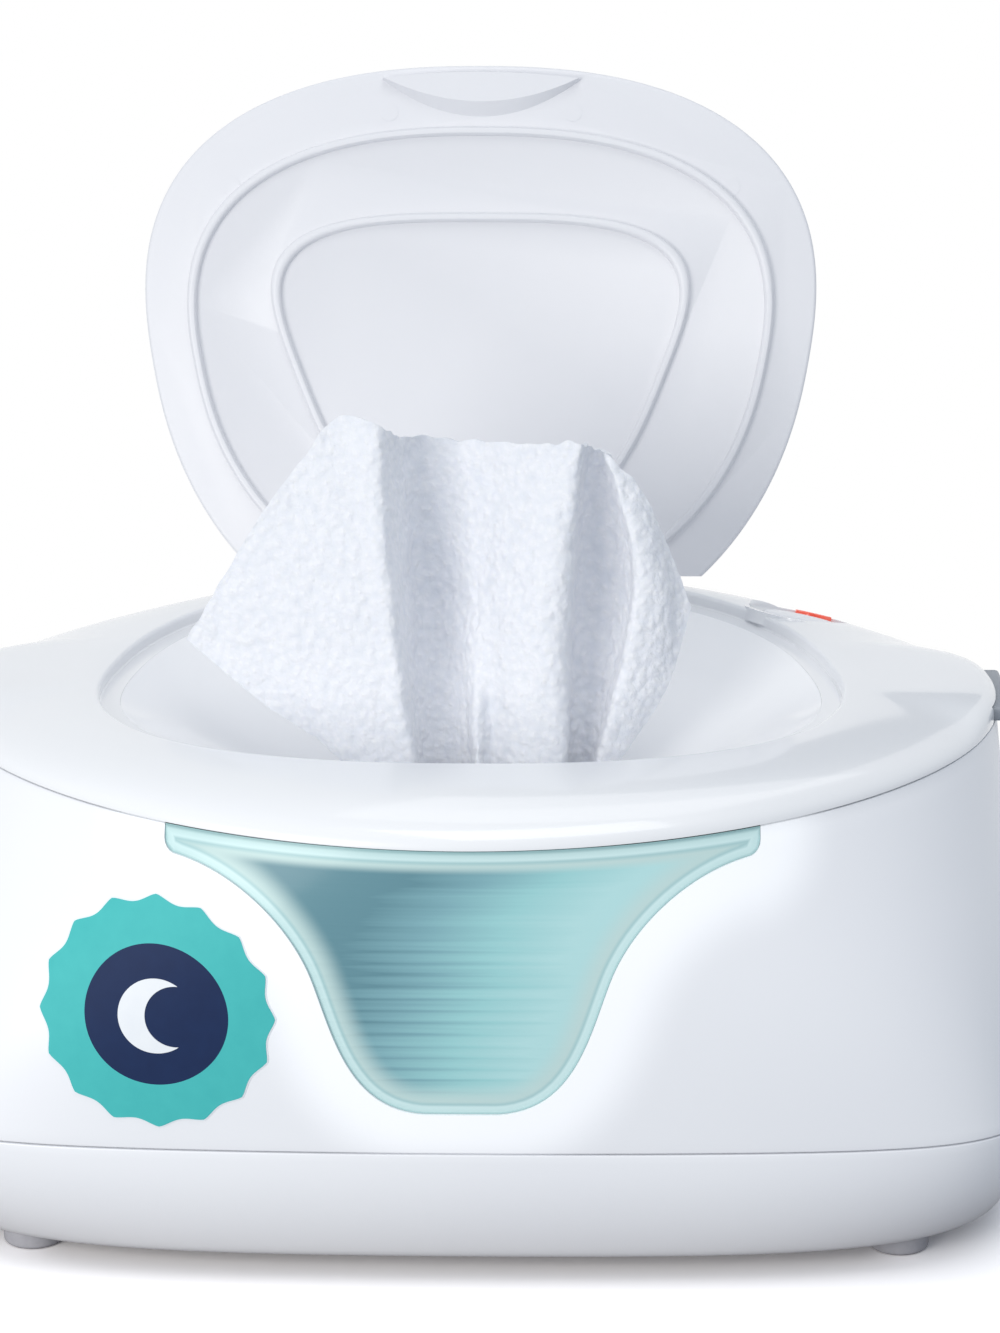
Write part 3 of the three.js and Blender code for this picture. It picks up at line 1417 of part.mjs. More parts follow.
function wipePoint(across, along) {
  const at = wipeFoldShares[0].map((_, k) => throughPoints(wipeFoldShares.map((fold) => fold[k]), across));
  const [footX, footY, middleX, middleY, middleZ, edgeX, edgeY, edgeZ] = at;
  const x = [footX, middleX, edgeX];
  const y = [footY, middleY, edgeY];
  const rise = [0, middleZ, edgeZ];
  return new THREE.Vector3(
    throughPoints(x, along) * wipeSpread,
    slotY + throughPoints(y, along) * wipeFold,
    slotHeight - slotLip + throughPoints(rise, along) * wipeRise,
  );
}

function wipeSheet() {
  const columns = wipeFoldShares.length - 1;
  const grid = [];
  for (let j = 0; j <= wipeAlong; j++) {
    for (let i = 0; i <= wipeAcross; i++) {
      grid.push(wipePoint((i / wipeAcross) * columns, (j / wipeAlong) * 2));
    }
  }
  const row = wipeAcross + 1;
  const { clamp } = THREE.MathUtils;
  const at = (i, j) => grid[clamp(j, 0, wipeAlong) * row + clamp(i, 0, wipeAcross)];
  const front = [];
  const back = [];
  for (let j = 0; j <= wipeAlong; j++) {
    for (let i = 0; i <= wipeAcross; i++) {
      const acrossWay = at(i + 1, j).clone().sub(at(i - 1, j));
      const upWay = at(i, j + 1).clone().sub(at(i, j - 1));
      const normal = acrossWay.cross(upWay).normalize().multiplyScalar(wipeThickness / 2);
      front.push(at(i, j).clone().add(normal));
      back.push(at(i, j).clone().sub(normal));
    }
  }
  const total = grid.length;
  const index = [];
  const quad = (a, b, c, d) => index.push(a, b, c, a, c, d);
  for (let j = 0; j < wipeAlong; j++) {
    for (let i = 0; i < wipeAcross; i++) {
      const a = j * row + i;
      quad(a, a + 1, a + row + 1, a + row);
      quad(total + a, total + a + row, total + a + row + 1, total + a + 1);
    }
  }
  for (let i = 0; i < wipeAcross; i++) {
    const top = wipeAlong * row + i;
    quad(i, total + i, total + i + 1, i + 1);
    quad(top, top + 1, total + top + 1, total + top);
  }
  for (let j = 0; j < wipeAlong; j++) {
    const left = j * row;
    const right = left + wipeAcross;
    quad(left, left + row, total + left + row, total + left);
    quad(right, total + right, total + right + row, right + row);
  }
  const positions = [...front, ...back].flatMap((point) => [point.x, point.y, point.z]);
  const geometry = new THREE.BufferGeometry();
  geometry.setAttribute("position", new THREE.Float32BufferAttribute(positions, 3));
  geometry.setIndex(index);
  return solidOf(geometry);
}

// Assembly

const cornerName = ([sx, sy]) => (sy < 0 ? "front" : "rear") + (sx < 0 ? "_left" : "_right");

function addBase() {
  addPiece("base_tray", baseTray(), "white");
  cornerSigns.forEach(([sx, sy]) => {
    const pad = makeMesh("foot_" + cornerName([sx, sy]), foot(), "rubber");
    pad.position.set(sx * footX, sy * footY, 0);
    const fixing = makeMesh(
      "base_screw_" + cornerName([sx, sy]),
      screw(screwRadius, screwHeadRadius, screwHeadHeight, baseScrewLength),
      "steel",
    );
    fixing.position.set(sx * footX, sy * footY, baseScrewSeat - fitGap);
    part.add(pad, fixing);
  });
}

function addHeater() {
  const insulation = [insulationWidth, insulationDepth, insulationThickness];
  addPiece("insulation_pad", padSolid(...insulation, insulationBase, tubPower, fitGap), "felt");
  const film = [padWidth, padDepth, padThickness];
  addPiece("heater_pad", padSolid(...film, padBase, tubPower, fitGap / 2), "heaterFilm");
  addPiece("heater_plate", heaterPlate(), "aluminium");
  addPiece("thermostat", thermostat(), "black");
  addPiece("thermal_fuse", thermalFuse(), "steel");
}

function addElectrics() {
  addPiece("control_board", controlBoard(), "pcb");
  boardScrewPlaces.forEach(([x, y], i) => {
    const length = boardHeight + boardThickness - trayFloor;
    const fixing = makeMesh("board_screw_" + (i + 1),
      screw(smallScrewRadius, smallHeadRadius, smallHeadHeight, length), "steel");
    fixing.rotation.x = Math.PI;
    fixing.position.set(x, y, boardHeight + boardThickness + fitGap);
    part.add(fixing);
  });
  addPiece("power_inlet", powerInlet(), "black");
  addPiece("night_light_board", nightLightBoard(), "pcb");
}

function addWires() {
  addPiece("heater_lead", heaterLead(), "red");
  addPiece("fuse_lead", fuseLead(), "red");
  addPiece("light_lead", lightLead(), "black");
}

function addBody() {
  addPiece("body_shell", bodyShell(), "white");
  addPiece("window_lens", windowLens(), "teal");
  addPiece("light_diffuser", lightDiffuser(), "milky");
  addPiece("wipe_tub", wipeTub(), "inner");
  addPiece("wipe_stack", wipeStack(), "wetCloth");
  addPiece("cover_hinge_pin", rodX(hingePinRadius, -hingeHalf, hingeHalf, hingeY, hingeZ), "steel");
}

function addCover() {
  addPiece("cover_shell", coverShell(), "white");
  addPiece("dispenser_bowl", dispenserBowl(), "white");
  addPiece("cover_liner", coverLiner(), "inner");
  addPiece("cover_seal", coverSeal(), "silicone");
  coverPosts.forEach(([x, y], i) => {
    [-1, 1].forEach((side) => {
      const name = "cover_screw_" + cornerName([side, i ? 1 : -1]);
      const length = coverScrewBite - fitGap + linerThickness;
      const solid = screw(smallScrewRadius, smallHeadRadius, smallHeadHeight, length);
      const fixing = makeMesh(name, solid, "steel");
      fixing.position.set(side * x, y, linerBase - fitGap);
      part.add(fixing);
    });
  });
  addPiece("latch_button_right", latchButton(), "grey");
  addPiece("latch_button_left", latchButton().mirror([1, 0, 0]), "grey");
  addPiece("wipe", wipeSheet(), "wetCloth");
}

function addPowerButton() {
  const group = new THREE.Group();
  group.position.setFromMatrixPosition(buttonFrame);
  group.quaternion.setFromRotationMatrix(buttonFrame);
  addPiece("power_button", powerButton(), "white", group);
  addPiece("indicator_lens", indicatorLens(), "red", group);
  addPiece("switch_board", switchBoard(), "pcb", group);
  part.add(group);
}

function addLid() {
  const lidGroup = new THREE.Group();
  lidGroup.position.set(0, lidAxisY, lidAxisZ);
  lidGroup.rotation.x = -(halfPi + lean);
  addPiece("lid", flipLid(), "lidWhite", lidGroup);
  part.add(lidGroup);
  [-1, 1].forEach((side) => {
    const ends = [side * pinInner, side * pinOuter].sort((a, b) => a - b);
    addPiece("lid_hinge_pin_" + (side < 0 ? "left" : "right"),
      rodX(lidPinRadius, ...ends, lidAxisY, lidAxisZ), "steel");
  });
}

addBase();
addHeater();
addElectrics();
addWires();
addBody();
addCover();
addPowerButton();
addLid();

// The origin is the bottom centre of the part's box at rest.
const bounds = new THREE.Box3().setFromObject(part, true);
part.position.y = -(bounds.min.y + bounds.max.y) / 2;

export default part;
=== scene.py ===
from math import atan2, copysign, cos, exp, pi, radians, sin, tan

import bmesh
import bpy
from mathutils import Matrix, Vector, noise
from mathutils.geometry import interpolate_bezier


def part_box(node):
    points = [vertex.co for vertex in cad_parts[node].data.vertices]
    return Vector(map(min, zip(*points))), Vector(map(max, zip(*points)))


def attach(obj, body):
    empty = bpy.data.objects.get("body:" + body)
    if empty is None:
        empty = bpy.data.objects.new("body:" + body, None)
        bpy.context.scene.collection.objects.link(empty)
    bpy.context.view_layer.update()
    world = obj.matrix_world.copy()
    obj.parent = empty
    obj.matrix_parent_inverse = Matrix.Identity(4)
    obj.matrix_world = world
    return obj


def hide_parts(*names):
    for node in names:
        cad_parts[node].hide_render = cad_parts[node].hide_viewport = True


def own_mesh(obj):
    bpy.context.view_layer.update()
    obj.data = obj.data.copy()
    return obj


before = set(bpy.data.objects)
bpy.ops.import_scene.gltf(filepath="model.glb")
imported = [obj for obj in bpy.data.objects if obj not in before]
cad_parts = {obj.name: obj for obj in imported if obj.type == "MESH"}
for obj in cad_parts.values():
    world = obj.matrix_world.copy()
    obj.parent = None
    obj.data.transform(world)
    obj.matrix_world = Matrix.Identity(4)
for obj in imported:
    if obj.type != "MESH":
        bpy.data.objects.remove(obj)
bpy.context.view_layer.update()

# Lengths are in millimetres in the casing's own frame, where y = 0 is its middle.
MM = 0.001
tray_low, tray_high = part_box("base_tray")
SHIFT = (tray_low.y + tray_high.y) / 2
ROW_FRAME = Matrix.Translation((0, SHIFT, 0)) @ Matrix.Scale(MM, 4)
WELD = 0.0001
FAR = 1000  # farther than anything in the model
CUT_OVER = 4
FIT_GAP = 0.3
RUN_GAP = 0.5

# Points round the shells and round small pieces
RING_COUNT = 288
TUB_COUNT = 192
ROUND_COUNT = 64
CORNER_SHARE = 0.12

# Casing
CASE_WIDTH = 258
CASE_DEPTH = 195
TOP_WIDTH = 248
TOP_DEPTH = 199
BOTTOM_WIDTH = 252
BOTTOM_DEPTH = 177
UNDERSIDE = 5
LOWER_SEAM = 34
UPPER_SEAM = 104
SEAM_RISE = 5
SEAM_X = TOP_WIDTH / 2
SEAM_TOP = UPPER_SEAM + SEAM_RISE
SEAM_GAP = 0.34
SEAM_ROUND = 0.35
CASE_WALL = 2.4
BULGE = 1.2
BOTTOM_POWER = 4.7
LOW_POWER = 8
TOP_POWER = 1.95
FLARE_POWER = 2.2
BOW_SHARE = 0.06
BOTTOM_EDGE = 2.6
RAMP_SHARE = 0.7
CLIMB_ROUNDS = 4
SIDE_STEPS = 34
BASE_STEPS = 16
LIP_DROP = 3
LIP_THICKNESS = 1.6
FLOOR = 2.4
FOOT_X = 98.5
FOOT_Y = 67
FOOT_RADIUS = 7
FOOT_TOP = 6.1
FOOT_ROUND = 1.1
SCREW_HEAD = 3.3
SCREW_SEAT = 11.5
INLET_X = 52
INLET_HEIGHT = 18
INLET_RADIUS = 5.7
LEDGE_HEIGHT = 99.5
LEDGE_WIDTH = 3
LEDGE_SLOPE = 4.8

# Window
WINDOW_WIDTH = 129
WINDOW_SHOULDER = 99.6
WINDOW_CORNER = 3
WAIST_WIDTH = 65.6
WAIST_HEIGHT = 76.3
WINDOW_FLAT = 16
WINDOW_BOTTOM = 43.5
FLARE_SHARES = (0.46, 0.09, 0.83, 0.5)
CUP_SHARES = (0.19, 0.36, 0.29, 0.97)
CURVE_STEPS = 26
LENS_BORDER = 1.7
LENS_STEP = 0.9
LENS_SINK = 0.7
LENS_THICKNESS = 2
LENS_CELL = 2
LENS_GAP = 0.12

# The window's shading, in metres
LENS_TOP = (UPPER_SEAM - RUN_GAP) * MM
LENS_CURVE = SEAM_RISE / (SEAM_X ** 2 * MM)
TOP_SHADE = (0.088, 0.099)
LOUVRE_TOP = (0.09, 0.08)
LOUVRE_RIGHT = (0.025, -0.01)
LOUVRE_TURNS = 2300
TONE_TOP = 0.104
TONE_START = 0.37
TONE_ACROSS = 21
TONE_DOWN = 6.4
TONE_STREAK = 0.6

# The window's border, paler plastic with a painted highlight and a painted shade line at its step, in
# millimetres from its edge
BORDER_REACH = 8
SIDE_BLEND = (2.2, 8.0)
TOP_BLEND = (2.8, 5.0)

# The night light's painted glow on the casing, in millimetres from the window's outline
GLOW_NEAR = 2.0
GLOW_FAR = 20.0
GLOW_STRENGTH = 0.17
GLOW_COLOUR = (0.96, 0.99, 1)

# Recess, flip lid and its ribs
RIM_HEIGHT = 114
RECESS_TILT = radians(1.65)
LID_HALF_WIDTH = 84
LID_HALF_LENGTH = 75.5
LID_CENTRE = 10
LID_POWER = 2.38
LID_TAPER_SHARE = 0.157
LID_GAP = 1
LID_THICKNESS = 2.6
LID_EDGE = 0.9
LID_AXIS_Y = 72
BARREL_RADIUS = 3.5
BARREL_LENGTH = 86
LID_LEAN = radians(16)
LID_EAR = 3.2
RIB_HEIGHT = 2.1
RIB_WIDTH = 2.4
RIB_FOOT = 0.25
RIB_FILLET = 0.15
RIB_STEPS = 8
RIB_BLUNTNESS = 0.8
OUTER_RIB = (72, 59.5, 10.9, 2.4, 0.163)
INNER_RIB = (46.3, 40.2, 13.7, 3.18, 0.34)
GRIP_WIDTH = 51
GRIP_DEPTH = 9.5
GRIP_SAG = 2.2
GRIP_INSET = 3.6
GRIP_HEIGHT = 2.6
GRIP_SLOPE = 2.6
# How far the grip's wall has come in at its ends and at its front, and gone down, at each of its levels
GRIP_SHARES = ((0, 0, 0), (0.125, 0.5, 0.5), (0.2, 1, 0.9), (0.25, 1.1, 1))
GRIP_SCOOP = 2.6
SCOOP_SLOPE = 1
GRIP_WALL = 1.6
GRIP_COUNT = 96
MARK_RADIUS = 2.3
MARK_HEIGHT = 0.12
MARK_PLACES = ((23.5, 12), (64, 31))  # to each side, and in from the free edge

# Cover
STEP_DEPTH = 3
RIM_EDGE = 0.9
LEDGE = 4.6
LEDGE_THICKNESS = 2
STEP_BACKING = 2.2
POCKET_FLOOR = 2
CROWN_STEPS = 26
SWELL_HALF = 25
SWELL_POWER = 6
HINGE_OUT = 4.8
HINGE_RADIUS = 4
HINGE_HALF = 34
HINGE_MIDDLE = 43.4
HINGE_ARM = 9
HINGE_REACH = 11

# Dispenser bowl, liner, tub and seal
BOWL_DEPTH = 20
BOWL_WALL = 1.9
BOWL_STEPS = 18
BOWL_FLANGE = 4.8
BOWL_FLANGE_THICKNESS = 1.6
BOWL_EDGE = 0.15
BOWL_GAP = 0.02
SLOT_WIDTH = 66
SLOT_DEPTH = 21
SLOT_Y = -15
SLOT_POWER = 2.6
SLOT_LIP = 3
SLOT_ROUND = 0.7
TUB_WIDTH = 198
TUB_DEPTH = 126
TUB_DRAFT = 4
TUB_FLOOR = 28.2
TUB_WALL = 1.8
TUB_POWER = 5
TUB_FOOT = 6
TUB_LIP = 0.5
FLANGE = 1.6
SEAL_OUT = 2.5
SEAL_WIDTH = 3.4
SEAL_HEIGHT = 2.3

# Latches
LATCH_LENGTH = 34
LATCH_TALL = 3.3
LATCH_OUT = 2.6
LATCH_DEPTH = 8.5
HOOK_WIDTH = 14
HOOK_THICKNESS = 2
HOOK_BARB = 1.6
HOOK_DROP = 6.4
HOOK_BACK = 5.4
CATCH_TALL = 1.6
ROOM_REACH = 16

# Power button and indicator
BUTTON_BEARING = radians(29.4)
BUTTON_CROWN = 58
DISH_RADIUS = 13.2
DISH_DEPTH = 2.4
BUTTON_RADIUS = 9.3
BUTTON_TRAVEL = 0.7
BUTTON_PROUD = 1.4
BUTTON_SKIRT = 1.8
BUTTON_STEM = 3
BUTTON_ROUND = 1.1
BUTTON_DOME = 0.12
BUTTON_GAP = 0.14
STEM_LENGTH = 0.6
DISH_BACKING = 2
BACKING_RADIUS = 14.6
ARC_INNER = 10.3
ARC_OUTER = 12.5
ARC_HALF = radians(23)
ARC_BEARING = radians(38)
ARC_PROUD = 1.7
ARC_ROUND = 0.35
ARC_STEPS = 24

# Round badge on the casing's front
BADGE_X = -66
BADGE_Z = 65.7
BADGE_RADIUS = 25.9
BADGE_DIP = 1.5
BADGE_POINTS = 16
BADGE_BLUNTNESS = 1.3
BADGE_COUNT = 240
BADGE_RINGS = 10
BADGE_BORDER = 0.35
BADGE_DISC = 15.8
BADGE_THICKNESS = 0.15
MOON_RADIUS = 8.4
MOON_OFFSET = 4.4
MOON_TIP = radians(55)
MOON_STEPS = 60
MOON_ROWS = 5

# The wipe's fold lines from left to right: x and y in the slot and just above it, then x, y and z half
# way up and at the free edge
WIPE_FOLDS = (
    (-20, -15, -35.5, -13.5, -49, -12, 112, -66.5, -10, 126.5),
    (-19.5, -16.5, -33.5, -15.5, -44.5, -14, 123, -58.5, -10, 140),
    (-18.5, -18, -29.5, -17.5, -38.5, -15.5, 132, -49.5, -10, 155),
    (-16.5, -19, -24.5, -18.5, -31.5, -16.5, 138, -38.5, -8, 170),
    (-14, -19.5, -19, -19, -24, -17.5, 141, -30.5, -6, 179),
    (-11.5, -20, -13.5, -19.5, -18, -17.5, 140, -21.5, -8.5, 177.5),
    (-11, -14, -12.5, -11, -15.8, -4, 138, -17.5, 0.5, 173),
    (-8, -7, -9.5, -4.5, -13.5, 7, 136, -14.5, 9, 171),
    (-4, -7.5, -5.5, -4.5, -8.5, 8.5, 134, -8.5, 10.5, 170.5),
    (0.3, -12, -1, -9, -3.5, 4, 134, -1.5, 8, 170.5),
    (2.3, -18.5, 1.5, -17, 1, -2, 134, 5.5, 4, 171),
    (5.3, -15.5, 5, -13, 5.5, -7, 135, 12, 0, 171.5),
    (10, -18.5, 10, -17.5, 11, -12, 136, 17.5, -3.5, 172),
    (16, -20, 16.5, -19, 17.5, -16, 137, 22, -5, 173),
    (21.5, -18.5, 22.4, -17.5, 23, -13, 137.5, 25.6, -5.5, 172.5),
    (22.3, -9, 23, -6.5, 25, 1, 137, 27.6, 2, 170.5),
    (25, -6.5, 26.5, -3.5, 32, 4.5, 137, 30.4, 4, 169),
    (26.5, -9, 30, -7, 37.2, -1.5, 139, 32, -1, 169),
    (26, -15, 31, -14, 38.4, -12, 141, 31.6, -6, 170),
    (27, -14, 34.5, -13.5, 43.2, -12, 137, 38.5, -6, 163.5),
    (28, -12, 37.5, -11.5, 46.2, -10, 128, 45.5, -5, 149.5),
    (29, -9, 39, -9, 46.5, -8, 116, 51.5, -4, 133),
)
WIPE_LOW = 103
WIPE_THICKNESS = 0.9
WIPE_ACROSS = 320
WIPE_ALONG = 140
WIPE_EMBOSS = 0.32
RIPPLE_PITCH = 9
RIPPLE_HEIGHT = 0.5
EDGE_WAVER = 0.9
WAVER_PITCH = 4
WAVER_POWER = 12
EMBOSS_PITCH = 2.4
WIDEST_SHARE = 0.8
PLAIN_SHARE = 1 / 6  # of the height, where the emboss fades in above the slot

# Wipe stack and insulation
STACK_WIDTH = 176
STACK_DEPTH = 104
STACK_HEIGHT = 46
STACK_CROWN = 3
STACK_LAYERS = 10
STACK_GROOVE = 0.9
STACK_SHOULDER = 9
STACK_TOP_SHARE = 0.9
INSULATION_WIDTH = 116
INSULATION_DEPTH = 92
INSULATION_THICKNESS = 4.6
INSULATION_BULGE = 1.2
PLATE_THICKNESS = 2
PAD_THICKNESS = 1.2

# Camera, in metres and degrees
CAMERA_TARGET = Vector((0.0067, SHIFT, 0.1175))
CAMERA_DISTANCE = 0.9
CAMERA_AZIMUTH = radians(1)
CAMERA_ELEVATION = radians(15.5)
CAMERA_LENS = 102.6
CAMERA_SENSOR = 36
CAMERA_CLIP = 0.01

# Lamps: place, target, size, power and colour, in metres and watts
LAMPS = {
    "key": ((-0.54, -0.84, 0.31), (-0.03, -0.05, 0.08), 0.5, 5.2, (1, 0.97, 0.92)),
    "top": ((0.12, -0.3, 0.95), (0, 0, 0.1), 0.5, 1.8, (1, 0.98, 0.95)),
    "back": ((0.15, 0.45, 1.05), (0, 0, 0.1), 0.6, 1.1, (1, 0.99, 0.97)),
}
AMBIENT_COLOUR = (0.82, 0.9, 1, 1)
AMBIENT_STRENGTH = 0.55

# Studio screen, in metres and degrees
SCREEN_TARGET = Vector((0.07, -0.03, 0.114))
SCREEN_DISTANCE = 1.5
SCREEN_BEARING = radians(3)
SCREEN_ELEVATION = radians(40)
SCREEN_SCALE = (0.4, 0.46, 1)
SCREEN_DARK = (0.2, 0.23, 0.28)
SCREEN_TURN = (-1.0, 0.3)  # where it goes from white to dark, in half widths from its middle

# Table, in metres
FLOOR_SIZE = 0.75
FLOOR_CORE_X = 0.08
FLOOR_CORE_Y = 0.05
FLOOR_CLEAR = 0.05
FLOOR_FADED = 0.1
FLOOR_LOOK = (1.45, 1.42, 1.42)
FLOOR_BOUNCE = (0.44, 0.42, 0.42)

# Nodes kept from the frame, in metres
KEPT_WELD = 0.00001
KEPT_ROUND = 0.00025
KEPT_ANGLE = radians(40)


# Depths of a finish's relief, and how far light spreads in the wipe, in metres
POLISH = 0.00001
GRAIN = 0.00002
COARSE_GRAIN = 0.00004
METAL_RELIEF = 0.00003
PRINT_RELIEF = 0.00003
FILM_RELIEF = 0.00005
RUBBER_RELIEF = 0.00008
LOUVRE_RELIEF = 0.0001
STACK_RELIEF = 0.0004
FELT_RELIEF = 0.0005
WIPE_RELIEF = 0.0008
WIPE_SCATTER = (0.004, 0.004, 0.005)


def lerp(a, b, share):
    return a + (b - a) * share


# Shader values


class Value:
    """An output of a node; sums and products of it are Math nodes."""

    def __init__(self, paint, socket):
        self.paint = paint
        self.socket = socket

    def math(self, operation, *values):
        return self.paint.node("Math", {"operation": operation}, dict(enumerate(values)))

    def __add__(self, other):
        return self.math("ADD", self, other)

    __radd__ = __add__

    def __sub__(self, other):
        return self.math("SUBTRACT", self, other)

    def __rsub__(self, other):
        return self.math("SUBTRACT", other, self)

    def __mul__(self, other):
        return self.math("MULTIPLY", self, other)

    __rmul__ = __mul__

    def __pow__(self, other):
        return self.math("POWER", self, other)


class Paint:
    """A material, whose nodes all come from one method."""

    def __init__(self, name, **constants):
        self.material = bpy.data.materials.new(name)
        self.material.use_nodes = True
        self.tree = self.material.node_tree
        self.shader = self.tree.nodes["Principled BSDF"]
        for key, value in constants.items():
            self.feed(key.replace("_", " "), value)

    def node(self, kind, settings, inputs, output=0):
        made = self.tree.nodes.new("ShaderNode" + kind)
        for key, value in settings.items():
            if key == "stops":
                for element, (place, colour) in zip(ramp_elements(made, len(value)), value):
                    element.position = place
                    element.color = (*colour, 1)
            else:
                setattr(made, key, value)
        for key, value in inputs.items():
            if isinstance(value, Value):
                self.tree.links.new(value.socket, made.inputs[key])
            else:
                made.inputs[key].default_value = value
        return Value(self, made.outputs[output])

    def feed(self, socket, value):
        """Sets a socket of the shader, or links it."""
        names = {name.lower(): name for name in self.shader.inputs.keys()}
        target = self.shader.inputs[names[socket.lower()]]
        if isinstance(value, Value):
            self.tree.links.new(value.socket, target)
        elif hasattr(value, "__len__") and len(value) == 3 and target.type == "RGBA":
            target.default_value = (*value, 1)
        else:
            target.default_value = value

    def place(self):
        return self.node("TexCoord", {}, {}, "Object")

    def axes(self):
        point = self.place()
        return [self.node("SeparateXYZ", {}, {0: point}, axis) for axis in (0, 1, 2)]

    def stretched(self, scale):
        return self.node("Mapping", {}, {"Vector": self.place(), "Scale": scale})

    def pebbles(self, scale):
        return self.node("TexVoronoi", {"feature": "SMOOTH_F1"}, {"Vector": self.place(), "Scale": scale})

    def noise(self, scale, detail=2, point=None, roughness=0.5):
        inputs = {"Vector": point or self.place(), "Scale": scale, "Detail": detail, "Roughness": roughness}
        return self.node("TexNoise", {}, inputs)

    def attribute(self, name):
        return self.node("Attribute", {"attribute_name": name}, {}, "Fac")

    def share(self, value, ends, results=(0.0, 1.0), kind="LINEAR"):
        """What a value becomes between two ends, and past them."""
        inputs = dict(enumerate((value, *ends, *results)))
        return self.node("MapRange", {"interpolation_type": kind}, inputs)

    def ramp(self, value, *stops):
        return self.node("ValToRGB", {"stops": stops}, {0: value})

    def glow(self, colour, strength):
        self.feed("Emission Color", colour)
        self.feed("Emission Strength", strength)

    def blend(self, share, first, second):
        """Two colours mixed by a share."""
        inputs = {0: share}
        for index, colour in ((6, first), (7, second)):
            inputs[index] = colour if isinstance(colour, Value) else (*colour, 1)
        return self.node("Mix", {"data_type": "RGBA"}, inputs, 2)

    def colour(self, share, first, second):
        self.feed("Base Color", self.blend(share, first, second))

    def roughness(self, share, spread, least):
        self.feed("Roughness", share * spread + least)

    def bump(self, height, distance, strength=1.0):
        inputs = {"Height": height, "Distance": distance, "Strength": strength}
        self.feed("Normal", self.node("Bump", {}, inputs))


def ramp_elements(node, count):
    elements = node.color_ramp.elements
    while len(elements) < count:
        elements.new(1)
    return elements


def srgb(red, green, blue):
    """A colour written as it shows on a screen, 0 to 255."""
    return tuple((channel / 255) ** 2.2 for channel in (red, green, blue))


def moulding(name, colour, shade, roughness, coat=0.0, grain=GRAIN):
    """Injection-moulded plastic: a faint drift of colour, soft flow ripple and fine grain."""
    paint = Paint(name, Coat_Weight=coat, Coat_Roughness=0.08)
    drift = paint.noise(14, 3)
    paint.colour(drift, colour, shade)
    paint.roughness(paint.noise(60, 3), 0.08, roughness - 0.04)
    ripple = paint.noise(35, 1) * 0.7
    fine = paint.noise(900, 2) * 0.3
    paint.bump(ripple + fine, grain)
    return paint


def moulded(*look, **more):
    return moulding(*look, **more).material


def window_plastic():
    """Frosted teal plastic: a paler moulded border with a painted highlight and a painted shade line at its
    step, a soft field darker to the upper left with painted shade along its top, louvre lines.
    """
    paint = Paint("window_plastic", Coat_Weight=0.15, Coat_Roughness=0.15, Specular_IOR_Level=0.25)
    side = paint.attribute("edge")
    x, _, z = paint.axes()
    top = (LENS_TOP + x * x * LENS_CURVE - z) * (1 / MM)
    edge = side.math("MINIMUM", side, top)
    top_shade = paint.share(z, TOP_SHADE, (0.0, 0.22))
    streak = paint.noise(1, 3, paint.stretched((6, 6, 260)), 0.7)
    plain = x * TONE_ACROSS + (TONE_TOP - z) * TONE_DOWN + TONE_START
    tone = plain + (streak - 0.5) * TONE_STREAK - top_shade
    wave = paint.node("Math", {"operation": "SINE"}, {0: z * LOUVRE_TURNS + streak * 5})
    line = (wave * 0.5 + 0.5) ** 4
    lines = line * paint.share(z, LOUVRE_TOP, kind="SMOOTHSTEP") * paint.share(x, LOUVRE_RIGHT, (0.25, 1.0))
    field = paint.ramp(
        tone - lines * 0.18,
        (0.0, srgb(94, 134, 145)),
        (0.3, srgb(120, 163, 172)),
        (0.65, srgb(148, 198, 200)),
        (1.0, srgb(172, 212, 213)),
    )
    # Paler border plastic, with a painted highlight along it and a painted shade line where it steps down to
    # the panel
    border = paint.ramp(
        edge * (1 / BORDER_REACH),
        (0.0, srgb(150, 184, 186)),
        (0.07, srgb(188, 216, 216)),
        (0.2, srgb(198, 224, 224)),
        (0.27, srgb(160, 194, 196)),
        (0.36, srgb(184, 208, 206)),
    )
    past_side = paint.share(side, SIDE_BLEND, kind="SMOOTHSTEP")
    past_top = paint.share(top, TOP_BLEND, kind="SMOOTHSTEP")
    colour = paint.blend(past_side * past_top, border, field)
    paint.feed("Base Color", colour)
    paint.glow(colour, 0.1)
    paint.roughness(streak, 0.1, 0.35)
    paint.bump(streak + lines * 0.5, LOUVRE_RELIEF, 0.5)
    return paint.material


def wet_wipe():
    """Embossed nonwoven cloth: pebbles with painted shade, darker and cooler, in the hollows between them,
    and fine fibres.
    """
    paint = Paint("wet_wipe", Roughness=0.85, Sheen_Weight=0.15, Subsurface_Weight=0.12)
    paint.feed("Subsurface Radius", WIPE_SCATTER)
    paint.feed("Subsurface Scale", 0.3)
    pebble = paint.pebbles(560)
    fibre = paint.noise(1100, 4, None, 0.7)
    # Painted shade: darker and cooler between the pebbles, mixed with the fibres' random tone
    shade = pebble * 0.8 + fibre * 0.4
    paint.colour(shade, srgb(246, 246, 250), srgb(226, 230, 238))
    paint.bump(fibre * 0.6 - pebble, WIPE_RELIEF, 0.7)
    return paint.material


def speckled(name, colour, shade, grain, relief, **constants):
    """A finish whose colour and relief share one noise."""
    paint = Paint(name, **constants)
    speck = paint.noise(*grain)
    paint.colour(speck, colour, shade)
    paint.bump(speck, *relief)
    return paint.material


def felt(name, colour, shade):
    grain = (420, 6, None, 0.75)
    return speckled(name, colour, shade, grain, (FELT_RELIEF, 0.8), Roughness=0.95, Sheen_Weight=0.2)


def rubber(name, colour, shade):
    return speckled(name, colour, shade, (700, 4), (RUBBER_RELIEF, 0.5), Roughness=0.75)


